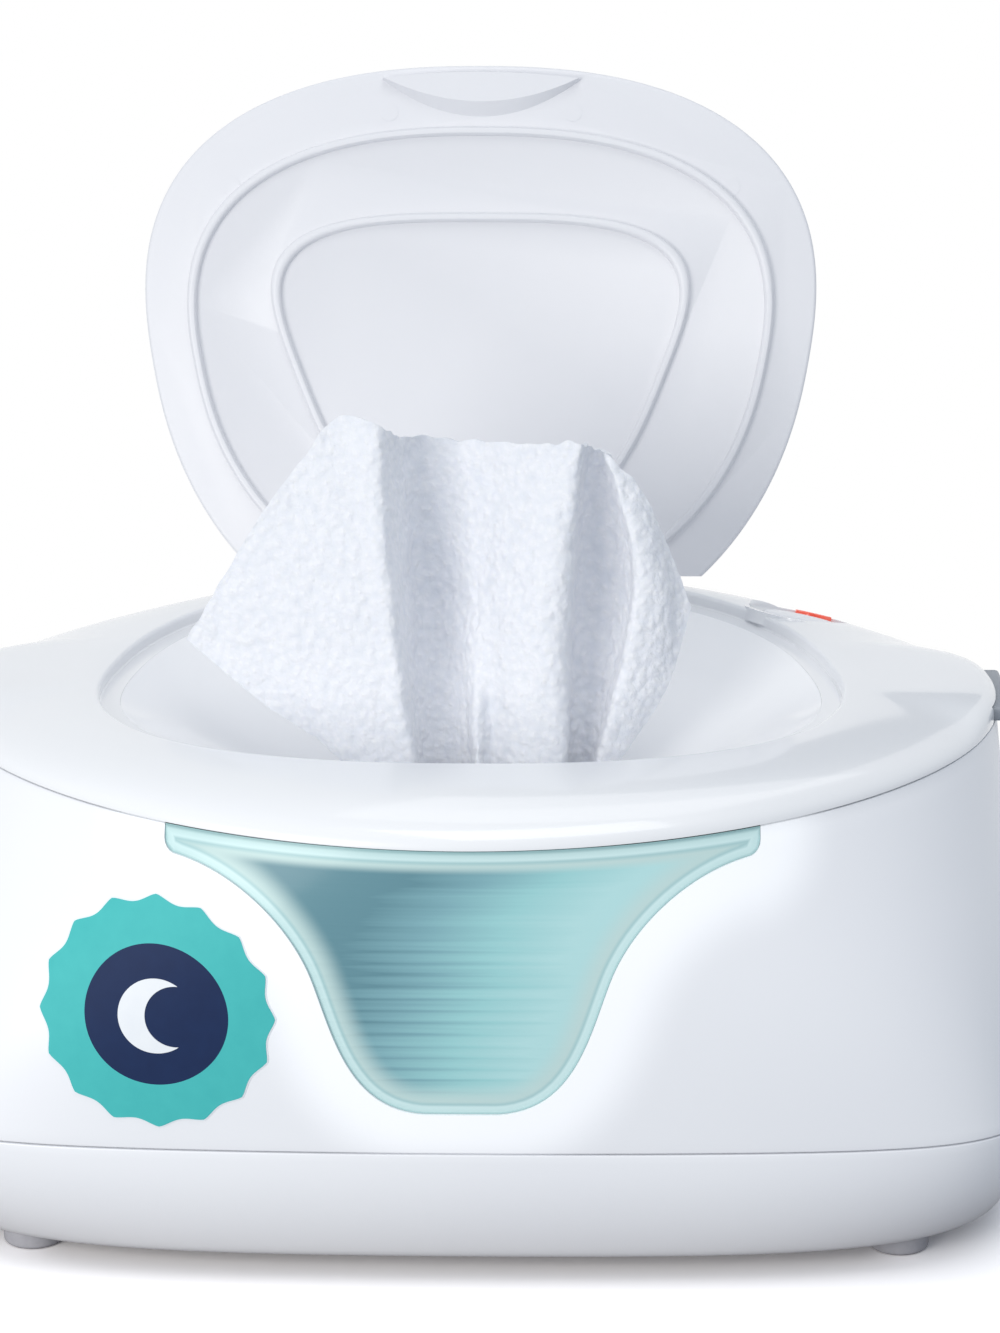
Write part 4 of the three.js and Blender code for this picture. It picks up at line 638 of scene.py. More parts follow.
def stacked_cloth():
    """Folded wet cloth in layers, embossed on its faces."""
    paint = Paint("stacked_cloth", Roughness=0.8, Sheen_Weight=0.15)
    pebble = paint.pebbles(340)
    fibre = paint.noise(900, 4, None, 0.7)
    paint.colour(pebble, srgb(240, 242, 247), srgb(224, 229, 238))
    paint.bump(pebble * 0.7 + fibre * 0.4, STACK_RELIEF, 0.7)
    return paint.material


def metal(name, colour, roughness, stretch):
    """Metal with the fine lines of rolling or turning."""
    paint = Paint(name, Metallic=1.0)
    streak = paint.noise(1, 4, paint.stretched(stretch), 0.6)
    paint.colour(streak, colour, tuple(0.8 * c for c in colour))
    paint.roughness(streak, 0.2, roughness)
    paint.bump(streak, METAL_RELIEF, 0.5)
    return paint.material


def circuit_board():
    """Green laminate with tracks and bare pads."""
    paint = Paint("circuit_board", Coat_Weight=0.4)
    track = paint.node("TexBrick", {"offset": 0.5}, {
        "Vector": paint.place(), "Scale": 160.0, "Mortar Size": 0.035,
        "Color1": (*srgb(30, 92, 60), 1),
        "Color2": (*srgb(36, 104, 68), 1),
        "Mortar": (*srgb(70, 140, 92), 1),
    })
    speck = paint.noise(500, 3)
    paint.colour(speck * 0.3, track, srgb(24, 78, 50))
    paint.roughness(speck, 0.2, 0.3)
    paint.bump(speck, FILM_RELIEF)
    return paint.material


def heater_film():
    """Polyimide film with the heater's meander showing through."""
    paint = Paint("heater_film", Coat_Weight=0.3)
    wave = paint.node("TexWave", {"wave_type": "BANDS", "bands_direction": "Y"}, {
        "Vector": paint.place(), "Scale": 40.0, "Distortion": 0.4, "Detail": 1.0,
    })
    paint.colour(wave, srgb(176, 96, 44), srgb(120, 62, 30))
    paint.roughness(paint.noise(200, 2), 0.2, 0.35)
    paint.bump(wave, FILM_RELIEF)
    return paint.material


def red_lens():
    paint = Paint("red_lens", Roughness=0.2, Coat_Weight=0.5)
    glow = paint.noise(300, 2)
    colour = paint.blend(glow, srgb(232, 70, 48), srgb(244, 100, 74))
    paint.feed("Base Color", colour)
    paint.glow(colour, 0.25)
    paint.bump(glow, GRAIN)
    return paint.material


def printed_vinyl(name, colour, shade):
    """Printed vinyl film: flat ink with a faint mottle under a satin laminate."""
    paint = Paint(name, Roughness=0.6, Specular_IOR_Level=0.25)
    mottle = paint.noise(260, 4)
    paint.colour(mottle, colour, shade)
    paint.bump(paint.noise(500, 3), PRINT_RELIEF, 0.6)
    return paint.material


def glowing_shell():
    """White plastic with a painted glow round the window, fading with distance from its outline, standing in
    for the night light's spill on the casing.
    """
    paint = moulding("white_shell_lit", srgb(242, 243, 246), srgb(237, 238, 243), 0.36, 0.08)
    # Painted light: the casing glows near the window though it is no lamp
    near = paint.share(paint.attribute("away"), (GLOW_NEAR, GLOW_FAR), (1.0, 0.0), "SMOOTHERSTEP")
    paint.glow(paint.blend(near, (0, 0, 0), GLOW_COLOUR), GLOW_STRENGTH)
    return paint.material


BODY = glowing_shell()
WHITE = moulded("white_shell", srgb(242, 243, 246), srgb(237, 238, 243), 0.36, 0.08)
GLOSS = moulded("cover_gloss", srgb(238, 239, 242), srgb(234, 236, 239), 0.33, 0.8, POLISH)
# Painted light: the cover's plastic made lighter in the bowl, standing in for light the shaded recess lacks
BOWL_PAINTED_LIGHTER = moulded("bowl_gloss", srgb(253, 253, 254), srgb(250, 251, 253), 0.33, 0.5, POLISH)
LID = moulded("lid_plastic", srgb(231, 231, 235), srgb(226, 227, 232), 0.42)
INNER = moulded("inner_plastic", srgb(228, 230, 236), srgb(220, 224, 230), 0.45, grain=COARSE_GRAIN)
WINDOW = window_plastic()
DIFFUSER = moulded("diffuser_plastic", srgb(214, 238, 234), srgb(200, 230, 226), 0.4)
GREY = moulded("grey_plastic", srgb(150, 156, 164), srgb(138, 144, 152), 0.45)
BLACK = moulded("black_plastic", srgb(44, 46, 50), srgb(36, 38, 42), 0.45)
RED_WIRE = rubber("red_insulation", srgb(196, 52, 44), srgb(170, 40, 34))
BLACK_WIRE = rubber("black_insulation", srgb(44, 46, 50), srgb(34, 36, 40))
RED = red_lens()
FOOT = rubber("foot_rubber", srgb(186, 186, 192), srgb(170, 170, 178))
SEAL = rubber("seal_silicone", srgb(222, 225, 230), srgb(210, 214, 220))
WIPE = wet_wipe()
STACK = stacked_cloth()
FELT = felt("insulation_felt", srgb(192, 186, 172), srgb(160, 152, 138))
FILM = heater_film()
ALUMINIUM = metal("plate_aluminium", srgb(196, 198, 202), 0.3, (900, 30, 900))
STEEL = metal("screw_steel", srgb(176, 178, 182), 0.25, (900, 900, 60))
BOARD = circuit_board()
TEAL_INK = printed_vinyl("badge_teal", srgb(78, 190, 188), srgb(70, 180, 180))
NAVY_INK = printed_vinyl("badge_navy", srgb(22, 44, 82), srgb(16, 36, 72))
PALE_INK = printed_vinyl("badge_pale", srgb(240, 243, 246), srgb(230, 234, 240))


# Meshes


def verts_of(made):
    return [item for item in made if isinstance(item, bmesh.types.BMVert)]


def rim_of(made, verts):
    """The new edges whose two ends are both new."""
    new = set(verts)
    return [item for item in made if isinstance(item, bmesh.types.BMEdge) and set(item.verts) <= new]


def loft(rings, count=RING_COUNT, closed=False):
    """Rings of points joined in order; each ring gives the point for a turn. Ends are capped."""
    bm = bmesh.new()
    turn = bm.verts.layers.float.new("turn")
    bmesh.ops.create_circle(bm, segments=count, radius=1)
    for vert in bm.verts:
        vert[turn] = atan2(vert.co.y, vert.co.x)
        vert.co = rings[0](vert[turn])
    loop = list(bm.edges)
    if not closed:
        bmesh.ops.contextual_create(bm, geom=loop)
    for ring in rings[1:] + (rings[:1] if closed else []):
        made = bmesh.ops.extrude_edge_only(bm, edges=loop)["geom"]
        verts = verts_of(made)
        for vert in verts:
            vert.co = ring(vert[turn])
        loop = rim_of(made, verts)
    if closed:
        bmesh.ops.remove_doubles(bm, verts=bm.verts, dist=WELD)
    else:
        bmesh.ops.contextual_create(bm, geom=loop)
    bmesh.ops.recalc_face_normals(bm, faces=bm.faces)
    return bm


def box(low, high):
    bm = bmesh.new()
    bmesh.ops.create_cube(bm, size=1)
    low, high = Vector(low), Vector(high)
    bmesh.ops.scale(bm, vec=high - low, verts=bm.verts)
    bmesh.ops.translate(bm, vec=(low + high) / 2, verts=bm.verts)
    return bm


def bevelled(bm, edges, radius, segments):
    shape = {"affect": "EDGES", "profile": 0.5, "material": -1}
    bmesh.ops.bevel(bm, geom=edges, offset=radius, segments=segments, **shape)
    return bm


def sliced(bm, place, way, **cleared):
    """Cuts a mesh by a plane square to a way."""
    geometry = bm.verts[:] + bm.edges[:] + bm.faces[:]
    bmesh.ops.bisect_plane(bm, geom=geometry, plane_co=place, plane_no=way, **cleared)


def rounded_box(low, high, radius, segments=3):
    bm = box(low, high)
    return bevelled(bm, bm.edges, radius, segments)


def rod(radius, start, end, count=ROUND_COUNT):
    start, end = Vector(start), Vector(end)
    way = end - start
    bm = bmesh.new()
    bmesh.ops.create_cone(bm, cap_ends=True, segments=count, radius1=radius, radius2=radius, depth=way.length)
    turn = way.to_track_quat("Z", "Y").to_matrix().to_4x4()
    bmesh.ops.transform(bm, matrix=Matrix.Translation((start + end) / 2) @ turn, verts=bm.verts)
    return bm


def post(radius, x, y, bottom, top, count=ROUND_COUNT):
    return rod(radius, (x, y, bottom), (x, y, top), count)


def turned(profile, count=ROUND_COUNT):
    """A profile of radius and height pairs, spun once round the z axis."""
    bm = bmesh.new()
    verts = [bm.verts.new((radius, 0, height)) for radius, height in profile]
    edges = [bm.edges.new(pair) for pair in zip(verts, verts[1:])]
    whole = {"cent": (0, 0, 0), "axis": (0, 0, 1), "angle": 2 * pi, "use_merge": True}
    bmesh.ops.spin(bm, geom=verts + edges, steps=count, **whole)
    bmesh.ops.remove_doubles(bm, verts=bm.verts, dist=WELD)
    bmesh.ops.recalc_face_normals(bm, faces=bm.faces)
    return bm


def arc(centre, radius, start, end, steps=6):
    """Points of an arc in a profile, from one bearing to another."""
    turns = [radians(lerp(start, end, i / steps)) for i in range(steps + 1)]
    return [(centre[0] + radius * cos(t), centre[1] + radius * sin(t)) for t in turns]


def prism(outline, depth):
    """A flat outline in x and y, drawn up along z."""
    bm = bmesh.new()
    face = bm.faces.new([bm.verts.new((x, y, 0)) for x, y in outline])
    made = bmesh.ops.extrude_face_region(bm, geom=[face])["geom"]
    bmesh.ops.translate(bm, vec=(0, 0, depth), verts=verts_of(made))
    bmesh.ops.holes_fill(bm, edges=bm.edges)
    bmesh.ops.recalc_face_normals(bm, faces=bm.faces)
    return bm


def moved(bm, matrix):
    bmesh.ops.transform(bm, matrix=matrix, verts=bm.verts)
    if matrix.determinant() < 0:
        bmesh.ops.reverse_faces(bm, faces=bm.faces)
    return bm


def mirrored(bm):
    return moved(bm.copy(), Matrix.Scale(-1, 4, (1, 0, 0)))


def gathered(*parts):
    """Several meshes in one, without joining their walls."""
    whole = bmesh.new()
    for part in parts:
        mesh = bpy.data.meshes.new("part")
        part.to_mesh(mesh)
        part.free()
        whole.from_mesh(mesh)
        bpy.data.meshes.remove(mesh)
    return whole


def combined(bm, tool, operation):
    """Two closed meshes joined or cut by an exact Boolean."""
    things = []
    for source in (bm, tool):
        mesh = bpy.data.meshes.new("operand")
        source.to_mesh(mesh)
        source.free()
        thing = bpy.data.objects.new("operand", mesh)
        bpy.context.scene.collection.objects.link(thing)
        things.append(thing)
    modifier = things[0].modifiers.new("combine", "BOOLEAN")
    modifier.object = things[1]
    modifier.operation = operation
    modifier.solver = "EXACT"
    result = bmesh.new()
    result.from_object(things[0], bpy.context.evaluated_depsgraph_get())
    for thing in things:
        mesh = thing.data
        bpy.data.objects.remove(thing)
        bpy.data.meshes.remove(mesh)
    return result


def joined(bm, *tools):
    for tool in tools:
        bm = combined(bm, tool, "UNION")
    return bm


def cut(bm, *tools):
    for tool in tools:
        bm = combined(bm, tool, "DIFFERENCE")
    return bm


def piece(name, bm, body, finish, stands_for=(), sharp=32):
    """Puts a mesh where the casing has it, on the body it moves with."""
    bmesh.ops.transform(bm, matrix=ROW_FRAME, verts=bm.verts)
    mesh = bpy.data.meshes.new(name)
    bm.to_mesh(mesh)
    bm.free()
    mesh.materials.append(finish)
    mesh.shade_smooth()
    mesh.set_sharp_from_angle(angle=radians(sharp))
    thing = bpy.data.objects.new(name, mesh)
    bpy.context.scene.collection.objects.link(thing)
    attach(thing, body)
    if stands_for:
        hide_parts(*stands_for)
    return thing


# Outlines of the casing


def section_point(section, turn):
    """A point of a superellipse whose long sides bow out, with more points near its corners."""
    half_width, half_depth, power, bow = section
    bearing = turn + CORNER_SHARE * sin(4 * turn)
    c, s = cos(bearing), sin(bearing)
    reach = (abs(c / half_width) ** power + abs(s / half_depth) ** power) ** (-1 / power)
    x = reach * c
    return x, reach * s * (1 - bow * (x / half_width) ** 2)


def body_section(height, inset=0):
    share = min(1, max(0, (height - LOWER_SEAM) / (UPPER_SEAM - LOWER_SEAM)))
    out = BULGE * sin(pi * share) - inset
    half_width = lerp(CASE_WIDTH, TOP_WIDTH, share) / 2 + out
    half_depth = lerp(CASE_DEPTH, TOP_DEPTH, share) / 2 + out
    return half_width, half_depth, LOW_POWER * (TOP_POWER / LOW_POWER) ** share, BOW_SHARE * (1 - share)


def base_section(height, inset=0):
    share = (height - UNDERSIDE) / (LOWER_SEAM - UNDERSIDE)
    flare = 1 - max(0, 1 - share) ** FLARE_POWER
    half_width = lerp(BOTTOM_WIDTH, CASE_WIDTH, flare) / 2 - inset
    half_depth = lerp(BOTTOM_DEPTH, CASE_DEPTH, flare) / 2 - inset
    return half_width, half_depth, lerp(BOTTOM_POWER, LOW_POWER, share), BOW_SHARE


def ring_at(shape, height, middle=0):
    """A level ring of a section, round a place y."""

    def point(turn):
        x, y = section_point(shape, turn)
        return Vector((x, middle + y, height))

    return point


def level(section, height, inset=0):
    return ring_at(section(height, inset), height)


def seam_climb(share, x):
    """How far a level of the side has risen with the upper seam over a place x."""
    ramp = max(0, (share - RAMP_SHARE) / (1 - RAMP_SHARE))
    return ramp ** 2 * SEAM_RISE * (x / SEAM_X) ** 2


def seam_height(x):
    return UPPER_SEAM + seam_climb(1, x)


def side_ring(share, inset=0, lift=0):
    height = lerp(LOWER_SEAM, UPPER_SEAM, share)
    shape = body_section(height, inset)

    def point(turn):
        x, y = section_point(shape, turn)
        return Vector((x, y, height + seam_climb(share, x) + lift))

    return point


def seam_ring(inset, lift):
    return side_ring(1, inset, lift)


def front_y(x, z):
    """The casing's front over a place x and z."""
    span = UPPER_SEAM - LOWER_SEAM
    share = (z - LOWER_SEAM) / span
    for _ in range(CLIMB_ROUNDS):
        share = (z - LOWER_SEAM - seam_climb(share, x)) / span
    half_width, half_depth, power, bow = body_section(LOWER_SEAM + share * span)
    reach = (1 - abs(x / half_width) ** power) ** (1 / power)
    return -half_depth * reach * (1 - bow * (x / half_width) ** 2)


CORNERS = [(-1, -1), (1, -1), (-1, 1), (1, 1)]
CORNER_NAMES = ["front_left", "front_right", "rear_left", "rear_right"]
# A quarter circle as pairs of shares: the first grows from 0 to 1 while the second falls from 1 to 0
QUARTER = [(1 - cos(radians(a)), 1 - sin(radians(a))) for a in (0, 22, 45, 68, 90)]


# Base


def foot_posts(radius, bottom, top):
    return gathered(*[post(radius, sx * FOOT_X, sy * FOOT_Y, bottom, top) for sx, sy in CORNERS])


def base_shell():
    top = LOWER_SEAM - SEAM_GAP / 2
    rings = [level(base_section, UNDERSIDE + BOTTOM_EDGE * up, BOTTOM_EDGE * into) for up, into in QUARTER]
    rise = top - SEAM_ROUND - UNDERSIDE - BOTTOM_EDGE
    start = UNDERSIDE + BOTTOM_EDGE
    rings += [level(base_section, start + rise * i / BASE_STEPS) for i in range(1, BASE_STEPS)]
    rings += [level(base_section, top - SEAM_ROUND * up, SEAM_ROUND * into) for up, into in reversed(QUARTER)]
    rings += [
        level(base_section, top, CASE_WALL),
        level(base_section, LOWER_SEAM + SEAM_GAP / 2 - LIP_DROP, CASE_WALL),
        level(base_section, (LOWER_SEAM + UNDERSIDE) / 2, CASE_WALL),
        level(base_section, UNDERSIDE + FLOOR + BOTTOM_EDGE, CASE_WALL),
        level(base_section, UNDERSIDE + FLOOR, CASE_WALL + BOTTOM_EDGE),
    ]
    holes = foot_posts(FOOT_RADIUS + FIT_GAP, -CUT_OVER, FOOT_TOP + FIT_GAP)
    bores = foot_posts(SCREW_HEAD, 0, SCREW_SEAT)
    back = CASE_DEPTH / 2
    inlet = rod(INLET_RADIUS, (INLET_X, back / 2, INLET_HEIGHT), (INLET_X, back + CUT_OVER, INLET_HEIGHT))
    return cut(loft(rings), holes, bores, inlet)


def feet():
    flat = FOOT_RADIUS - FOOT_ROUND
    profile = [(0, 0), *arc((flat, FOOT_ROUND), FOOT_ROUND, -90, 0), (FOOT_RADIUS, FOOT_TOP), (0, FOOT_TOP)]
    for (sx, sy), name in zip(CORNERS, CORNER_NAMES):
        pad = moved(turned(profile), Matrix.Translation((sx * FOOT_X, sy * FOOT_Y, 0)))
        piece("rubber_foot_" + name, pad, "base", FOOT, ["foot_" + name])


# Body with its window


def bezier(start, end, shares):
    """Points from start to end, its two handles given as shares of the span."""
    start, end = Vector(start), Vector(end)
    handles = [Vector((lerp(start.x, end.x, shares[i]), lerp(start.y, end.y, shares[i + 1]))) for i in (0, 2)]
    return [(point.x, point.y) for point in interpolate_bezier(start, *handles, end, CURVE_STEPS)]


def window_outline(grow, top):
    """Half the window's outline and its mirror image, from the upper right corner round by the foot."""
    half = WINDOW_WIDTH / 2 + grow
    waist = WAIST_WIDTH / 2 + grow
    shoulder = WINDOW_SHOULDER - grow
    bottom = WINDOW_BOTTOM - grow
    inner = half - WINDOW_CORNER
    corner = arc((inner, shoulder + WINDOW_CORNER), WINDOW_CORNER, 0, -90, 5)
    flare = bezier((inner, shoulder), (waist, WAIST_HEIGHT), FLARE_SHARES)
    cup = bezier((waist, WAIST_HEIGHT), (WINDOW_FLAT / 2, bottom), CUP_SHARES)
    right = [(half, top(half)), *corner[:-1], *flare[:-1], *cup]
    across = [lerp(-half, half, i / CURVE_STEPS) for i in range(1, CURVE_STEPS)]
    return right + [(-x, z) for x, z in reversed(right)] + [(x, top(x)) for x in across]


def standing(outline, depth):
    """An outline in x and z, drawn from the front of the casing back by a depth."""
    matrix = Matrix.Translation((0, -TOP_DEPTH / 2 - CUT_OVER + depth, 0)) @ Matrix.Rotation(pi / 2, 4, "X")
    return moved(prism(outline, depth), matrix)


def side_rings():
    low = LOWER_SEAM + SEAM_GAP / 2
    span = UPPER_SEAM - LOWER_SEAM
    start = (low + SEAM_ROUND - LOWER_SEAM) / span
    rings = [side_ring(0, SEAM_ROUND * into, SEAM_GAP / 2 + SEAM_ROUND * up) for up, into in QUARTER]
    rings += [side_ring(lerp(start, 1, i / SIDE_STEPS)) for i in range(1, SIDE_STEPS)]
    top = -SEAM_GAP / 2
    rings += [seam_ring(SEAM_ROUND * into, top - SEAM_ROUND * down) for into, down in QUARTER]
    return rings


def body_skin():
    low = LOWER_SEAM + SEAM_GAP / 2
    lip = CASE_WALL + FIT_GAP
    foot = LEDGE_HEIGHT - LEDGE_SLOPE
    rings = side_rings() + [
        seam_ring(CASE_WALL, -SEAM_GAP / 2),
        level(body_section, LEDGE_HEIGHT, CASE_WALL),
        level(body_section, LEDGE_HEIGHT, CASE_WALL + LEDGE_WIDTH),
        level(body_section, LEDGE_HEIGHT - LEDGE_WIDTH / 2, CASE_WALL + LEDGE_WIDTH),
        level(body_section, foot, CASE_WALL),
        level(body_section, (foot + low) / 2, CASE_WALL),
        level(body_section, low + 2 * LIP_DROP, CASE_WALL),
        level(body_section, low + LIP_DROP, lip + LIP_THICKNESS),
        level(base_section, low - LIP_DROP, lip + LIP_THICKNESS),
        level(base_section, low - LIP_DROP, lip),
        level(body_section, low, lip),
    ]
    outline = window_outline(0, lambda x: SEAM_TOP + CUT_OVER)
    bm = cut(loft(rings, closed=True), standing(outline, TOP_DEPTH / 4))
    away = bm.verts.layers.float.new("away")
    for vert in bm.verts:
        seen = vert.co.y < -CASE_DEPTH / 4
        vert[away] = distance_to(outline, vert.co.x, vert.co.z) if seen else GLOW_FAR
    return bm


def distance_to(line, x, z):
    """The least distance from a place to a row of points."""
    place = Vector((x, z))
    least = FAR
    for start, end in zip(line, line[1:]):
        start, end = Vector(start), Vector(end)
        way = end - start
        share = min(1, max(0, (place - start).dot(way) / way.length_squared))
        least = min(least, (start + way * share - place).length)
    return least


def window_lens():
    """The window's plate follows the casing's face: a raised border round a slightly sunk panel."""
    bm = bmesh.new()
    outline = window_outline(-LENS_GAP, lambda x: seam_height(x) - SEAM_GAP / 2)
    face = bm.faces.new([bm.verts.new((x, 0, z)) for x, z in outline])
    bmesh.ops.inset_region(bm, faces=[face], thickness=LENS_BORDER, use_even_offset=True)
    bmesh.ops.inset_region(bm, faces=[face], thickness=LENS_STEP, use_even_offset=True)
    bmesh.ops.translate(bm, vec=(0, LENS_SINK, 0), verts=list(face.verts))
    across, up = Vector((1, 0, 0)), Vector((0, 0, 1))
    for way, start, end in ((across, -WINDOW_WIDTH / 2, WINDOW_WIDTH / 2), (up, WINDOW_BOTTOM, SEAM_TOP)):
        place = start + LENS_CELL
        while place < end:
            sliced(bm, way * place, way)
            place += LENS_CELL
    for vert in bm.verts:
        vert.co.y += front_y(vert.co.x, vert.co.z)
    bmesh.ops.recalc_face_normals(bm, faces=bm.faces)
    if sum(other.normal.y * other.calc_area() for other in bm.faces) > 0:
        bmesh.ops.reverse_faces(bm, faces=bm.faces)
    bmesh.ops.solidify(bm, geom=bm.faces[:], thickness=LENS_THICKNESS)
    edge = bm.verts.layers.float.new("edge")
    sides = [(x, z) for x, z in outline if z < UPPER_SEAM - SEAM_GAP or abs(x) > WINDOW_WIDTH / 2 - FIT_GAP]
    for vert in bm.verts:
        vert[edge] = distance_to(sides, vert.co.x, vert.co.z)
    piece("teal_window", bm, "base", WINDOW, ["window_lens"])


def hinge_arm(start, end, side):
    """A round knuckle on an arm that reaches the wall above or below the seam."""
    outline = [
        (0, side * HINGE_RADIUS),
        (-HINGE_REACH, side * (HINGE_RADIUS + HINGE_ARM / 2)),
        (-HINGE_REACH, side * SEAM_GAP * 2),
        (0, side * SEAM_GAP * 2),
    ]
    bm = prism(outline, end - start)
    turn = Matrix.Rotation(pi / 2, 4, "Z") @ Matrix.Rotation(pi / 2, 4, "X")
    y, z = TOP_DEPTH / 2 + HINGE_OUT, UPPER_SEAM
    arm = moved(bm, Matrix.Translation((start, y, z)) @ turn)
    return joined(rod(HINGE_RADIUS, (start, y, z), (end, y, z)), arm)


def latch_catch():
    """The step inside the body wall that a latch hook snaps under."""
    low = SEAM_TOP - HOOK_DROP + HOOK_BARB + FIT_GAP
    half = HOOK_WIDTH / 2 + RUN_GAP
    inner = SEAM_X - HOOK_BACK + FIT_GAP
    outer = SEAM_X - CASE_WALL / 2
    return rounded_box((inner, -half, low), (outer, half, low + CATCH_TALL), CATCH_TALL / 5, 2)


def add_base():
    piece("base_casing", base_shell(), "base", WHITE, ["base_tray"])
    feet()
    piece("body_casing", body_skin(), "base", BODY, ["body_shell"])
    for name, start, end in (
        ("left", -HINGE_HALF, -HINGE_MIDDLE / 2 - FIT_GAP),
        ("right", HINGE_MIDDLE / 2 + FIT_GAP, HINGE_HALF),
    ):
        piece("hinge_knuckle_" + name, hinge_arm(start, end, -1), "base", WHITE)
    tooth = latch_catch()
    piece("latch_catches", gathered(mirrored(tooth), tooth), "base", WHITE)
    window_lens()


# Recess plane, lid and rib outlines

LID_FRONT = LID_CENTRE - LID_HALF_LENGTH
LID_OUTLINE = (LID_HALF_WIDTH, LID_HALF_LENGTH, LID_CENTRE, LID_POWER, LID_TAPER_SHARE)


def tapered_point(outline, turn, grow, back=FAR):
    """A tapered superellipse, wider at the lid's free edge and cut straight at its back."""
    half_width, half_length, centre, power, taper = outline
    c, s = cos(turn), sin(turn)
    across = copysign(abs(c) ** (2 / power), c)
    along = copysign(abs(s) ** (2 / power), s)
    x = (half_width + grow) * (1 - taper * along) * across
    return x, min(centre + (half_length + grow) * along, back)


def recess_height(y):
    return RIM_HEIGHT + (y - LID_FRONT + LID_GAP) * tan(RECESS_TILT)


LID_AXIS_Z = recess_height(LID_AXIS_Y) - BARREL_RADIUS
LID_STOP = BARREL_RADIUS * (cos(LID_LEAN) + (1 + sin(LID_LEAN)) * tan(LID_LEAN))
POCKET_BACK = LID_AXIS_Y + LID_STOP + FIT_GAP
POCKET_HALF = BARREL_LENGTH / 2 + RUN_GAP
POCKET_FRONT = LID_AXIS_Y - BARREL_RADIUS - RUN_GAP
POCKET_BOTTOM = LID_AXIS_Z - BARREL_RADIUS - RUN_GAP
LEDGE_AT_AXIS = recess_height(LID_AXIS_Y) - STEP_DEPTH
TROUGH_FRONT = POCKET_FRONT - POCKET_FLOOR


def recess_ring(grow, drop, back=POCKET_BACK):
    def point(turn):
        x, y = tapered_point(LID_OUTLINE, turn, grow, back)
        return Vector((x, y, recess_height(y) - drop))

    return point


def crown_ring(degrees, inset=0, grow=LID_GAP + RIM_EDGE):
    """A ring of the cover's crown: 0 degrees at the seam, 90 at the recess rim, fuller over the latches."""
    low_ring = seam_ring(inset, SEAM_GAP / 2)
    high_ring = recess_ring(grow, inset)

    def point(turn):
        low, high = low_ring(turn), high_ring(turn)
        fullness = lerp(2, SWELL_POWER, exp(-((low.y / SWELL_HALF) ** 4)))
        run = 1 - cos(radians(degrees)) ** (2 / fullness)
        rise = sin(radians(degrees)) ** (2 / fullness)
        return Vector((lerp(low.x, high.x, run), lerp(low.y, high.y, run), lerp(low.z, high.z, rise)))

    return point


def crown_angles():
    """Closer together near both ends, where the fuller parts turn fastest."""
    shares = [i / CROWN_STEPS for i in range(1, CROWN_STEPS)]
    return [90 * (0.5 - 0.5 * cos(pi * share)) for share in shares]


def button_frame():
    origin = crown_ring(BUTTON_CROWN)(BUTTON_BEARING)
    inward = crown_ring(BUTTON_CROWN + 1)(BUTTON_BEARING) - origin
    along = crown_ring(BUTTON_CROWN)(BUTTON_BEARING + radians(1)) - origin
    normal = (-inward).cross(along).normalized()
    outward = (-inward).normalized()
    side = normal.cross(outward)
    matrix = Matrix((outward, side, normal)).transposed().to_4x4()
    return Matrix.Translation(origin) @ matrix


BUTTON_FRAME = button_frame()


def grip_ring(grow, depth, height):
    """The crescent under the lid's free edge."""
    half = GRIP_WIDTH / 2 + grow
    corner = LID_FRONT + GRIP_INSET

    def point(turn):
        reach = depth + grow if sin(turn) > 0 else GRIP_SAG + grow
        x = half * cos(turn)
        return Vector((x, corner + copysign(reach, sin(turn)) * (1 - (x / half) ** 2), height))

    return point


def arc_sector(inner, outer, spread, low, high):
    start, end = ARC_BEARING - ARC_HALF - spread, ARC_BEARING + ARC_HALF + spread
    turns = [lerp(start, end, i / ARC_STEPS) for i in range(ARC_STEPS + 1)]
    outline = [(outer * cos(t), outer * sin(t)) for t in turns]
    outline += [(inner * cos(t), inner * sin(t)) for t in reversed(turns)]
    return moved(prism(outline, high - low), Matrix.Translation((0, 0, low)))


LATCH_BASE = SEAM_TOP + SEAM_GAP / 2 + FIT_GAP
LATCH_TOP = LATCH_BASE + LATCH_TALL
BACKING_BASE = -DISH_DEPTH - DISH_BACKING


def latch_room():
    half = LATCH_LENGTH / 2 + FIT_GAP
    low = (SEAM_X - ROOM_REACH, -half, SEAM_TOP - HOOK_DROP)
    return box(low, (SEAM_X + CUT_OVER, half, LATCH_TOP + FIT_GAP))


def grip_room():
    """The space that the shut lid's grip takes."""
    high = recess_height(LID_FRONT)
    low = high - LID_THICKNESS - GRIP_HEIGHT - RUN_GAP
    return loft([grip_ring(RUN_GAP, GRIP_DEPTH, z) for z in (low, high + CUT_OVER)], GRIP_COUNT)


def grip_notch():
    """The room for the grip, as far as the recess reaches."""
    limit = box((-GRIP_WIDTH, LID_FRONT - LID_GAP, 0), (GRIP_WIDTH, 0, 2 * RIM_HEIGHT))
    return combined(grip_room(), limit, "INTERSECT")


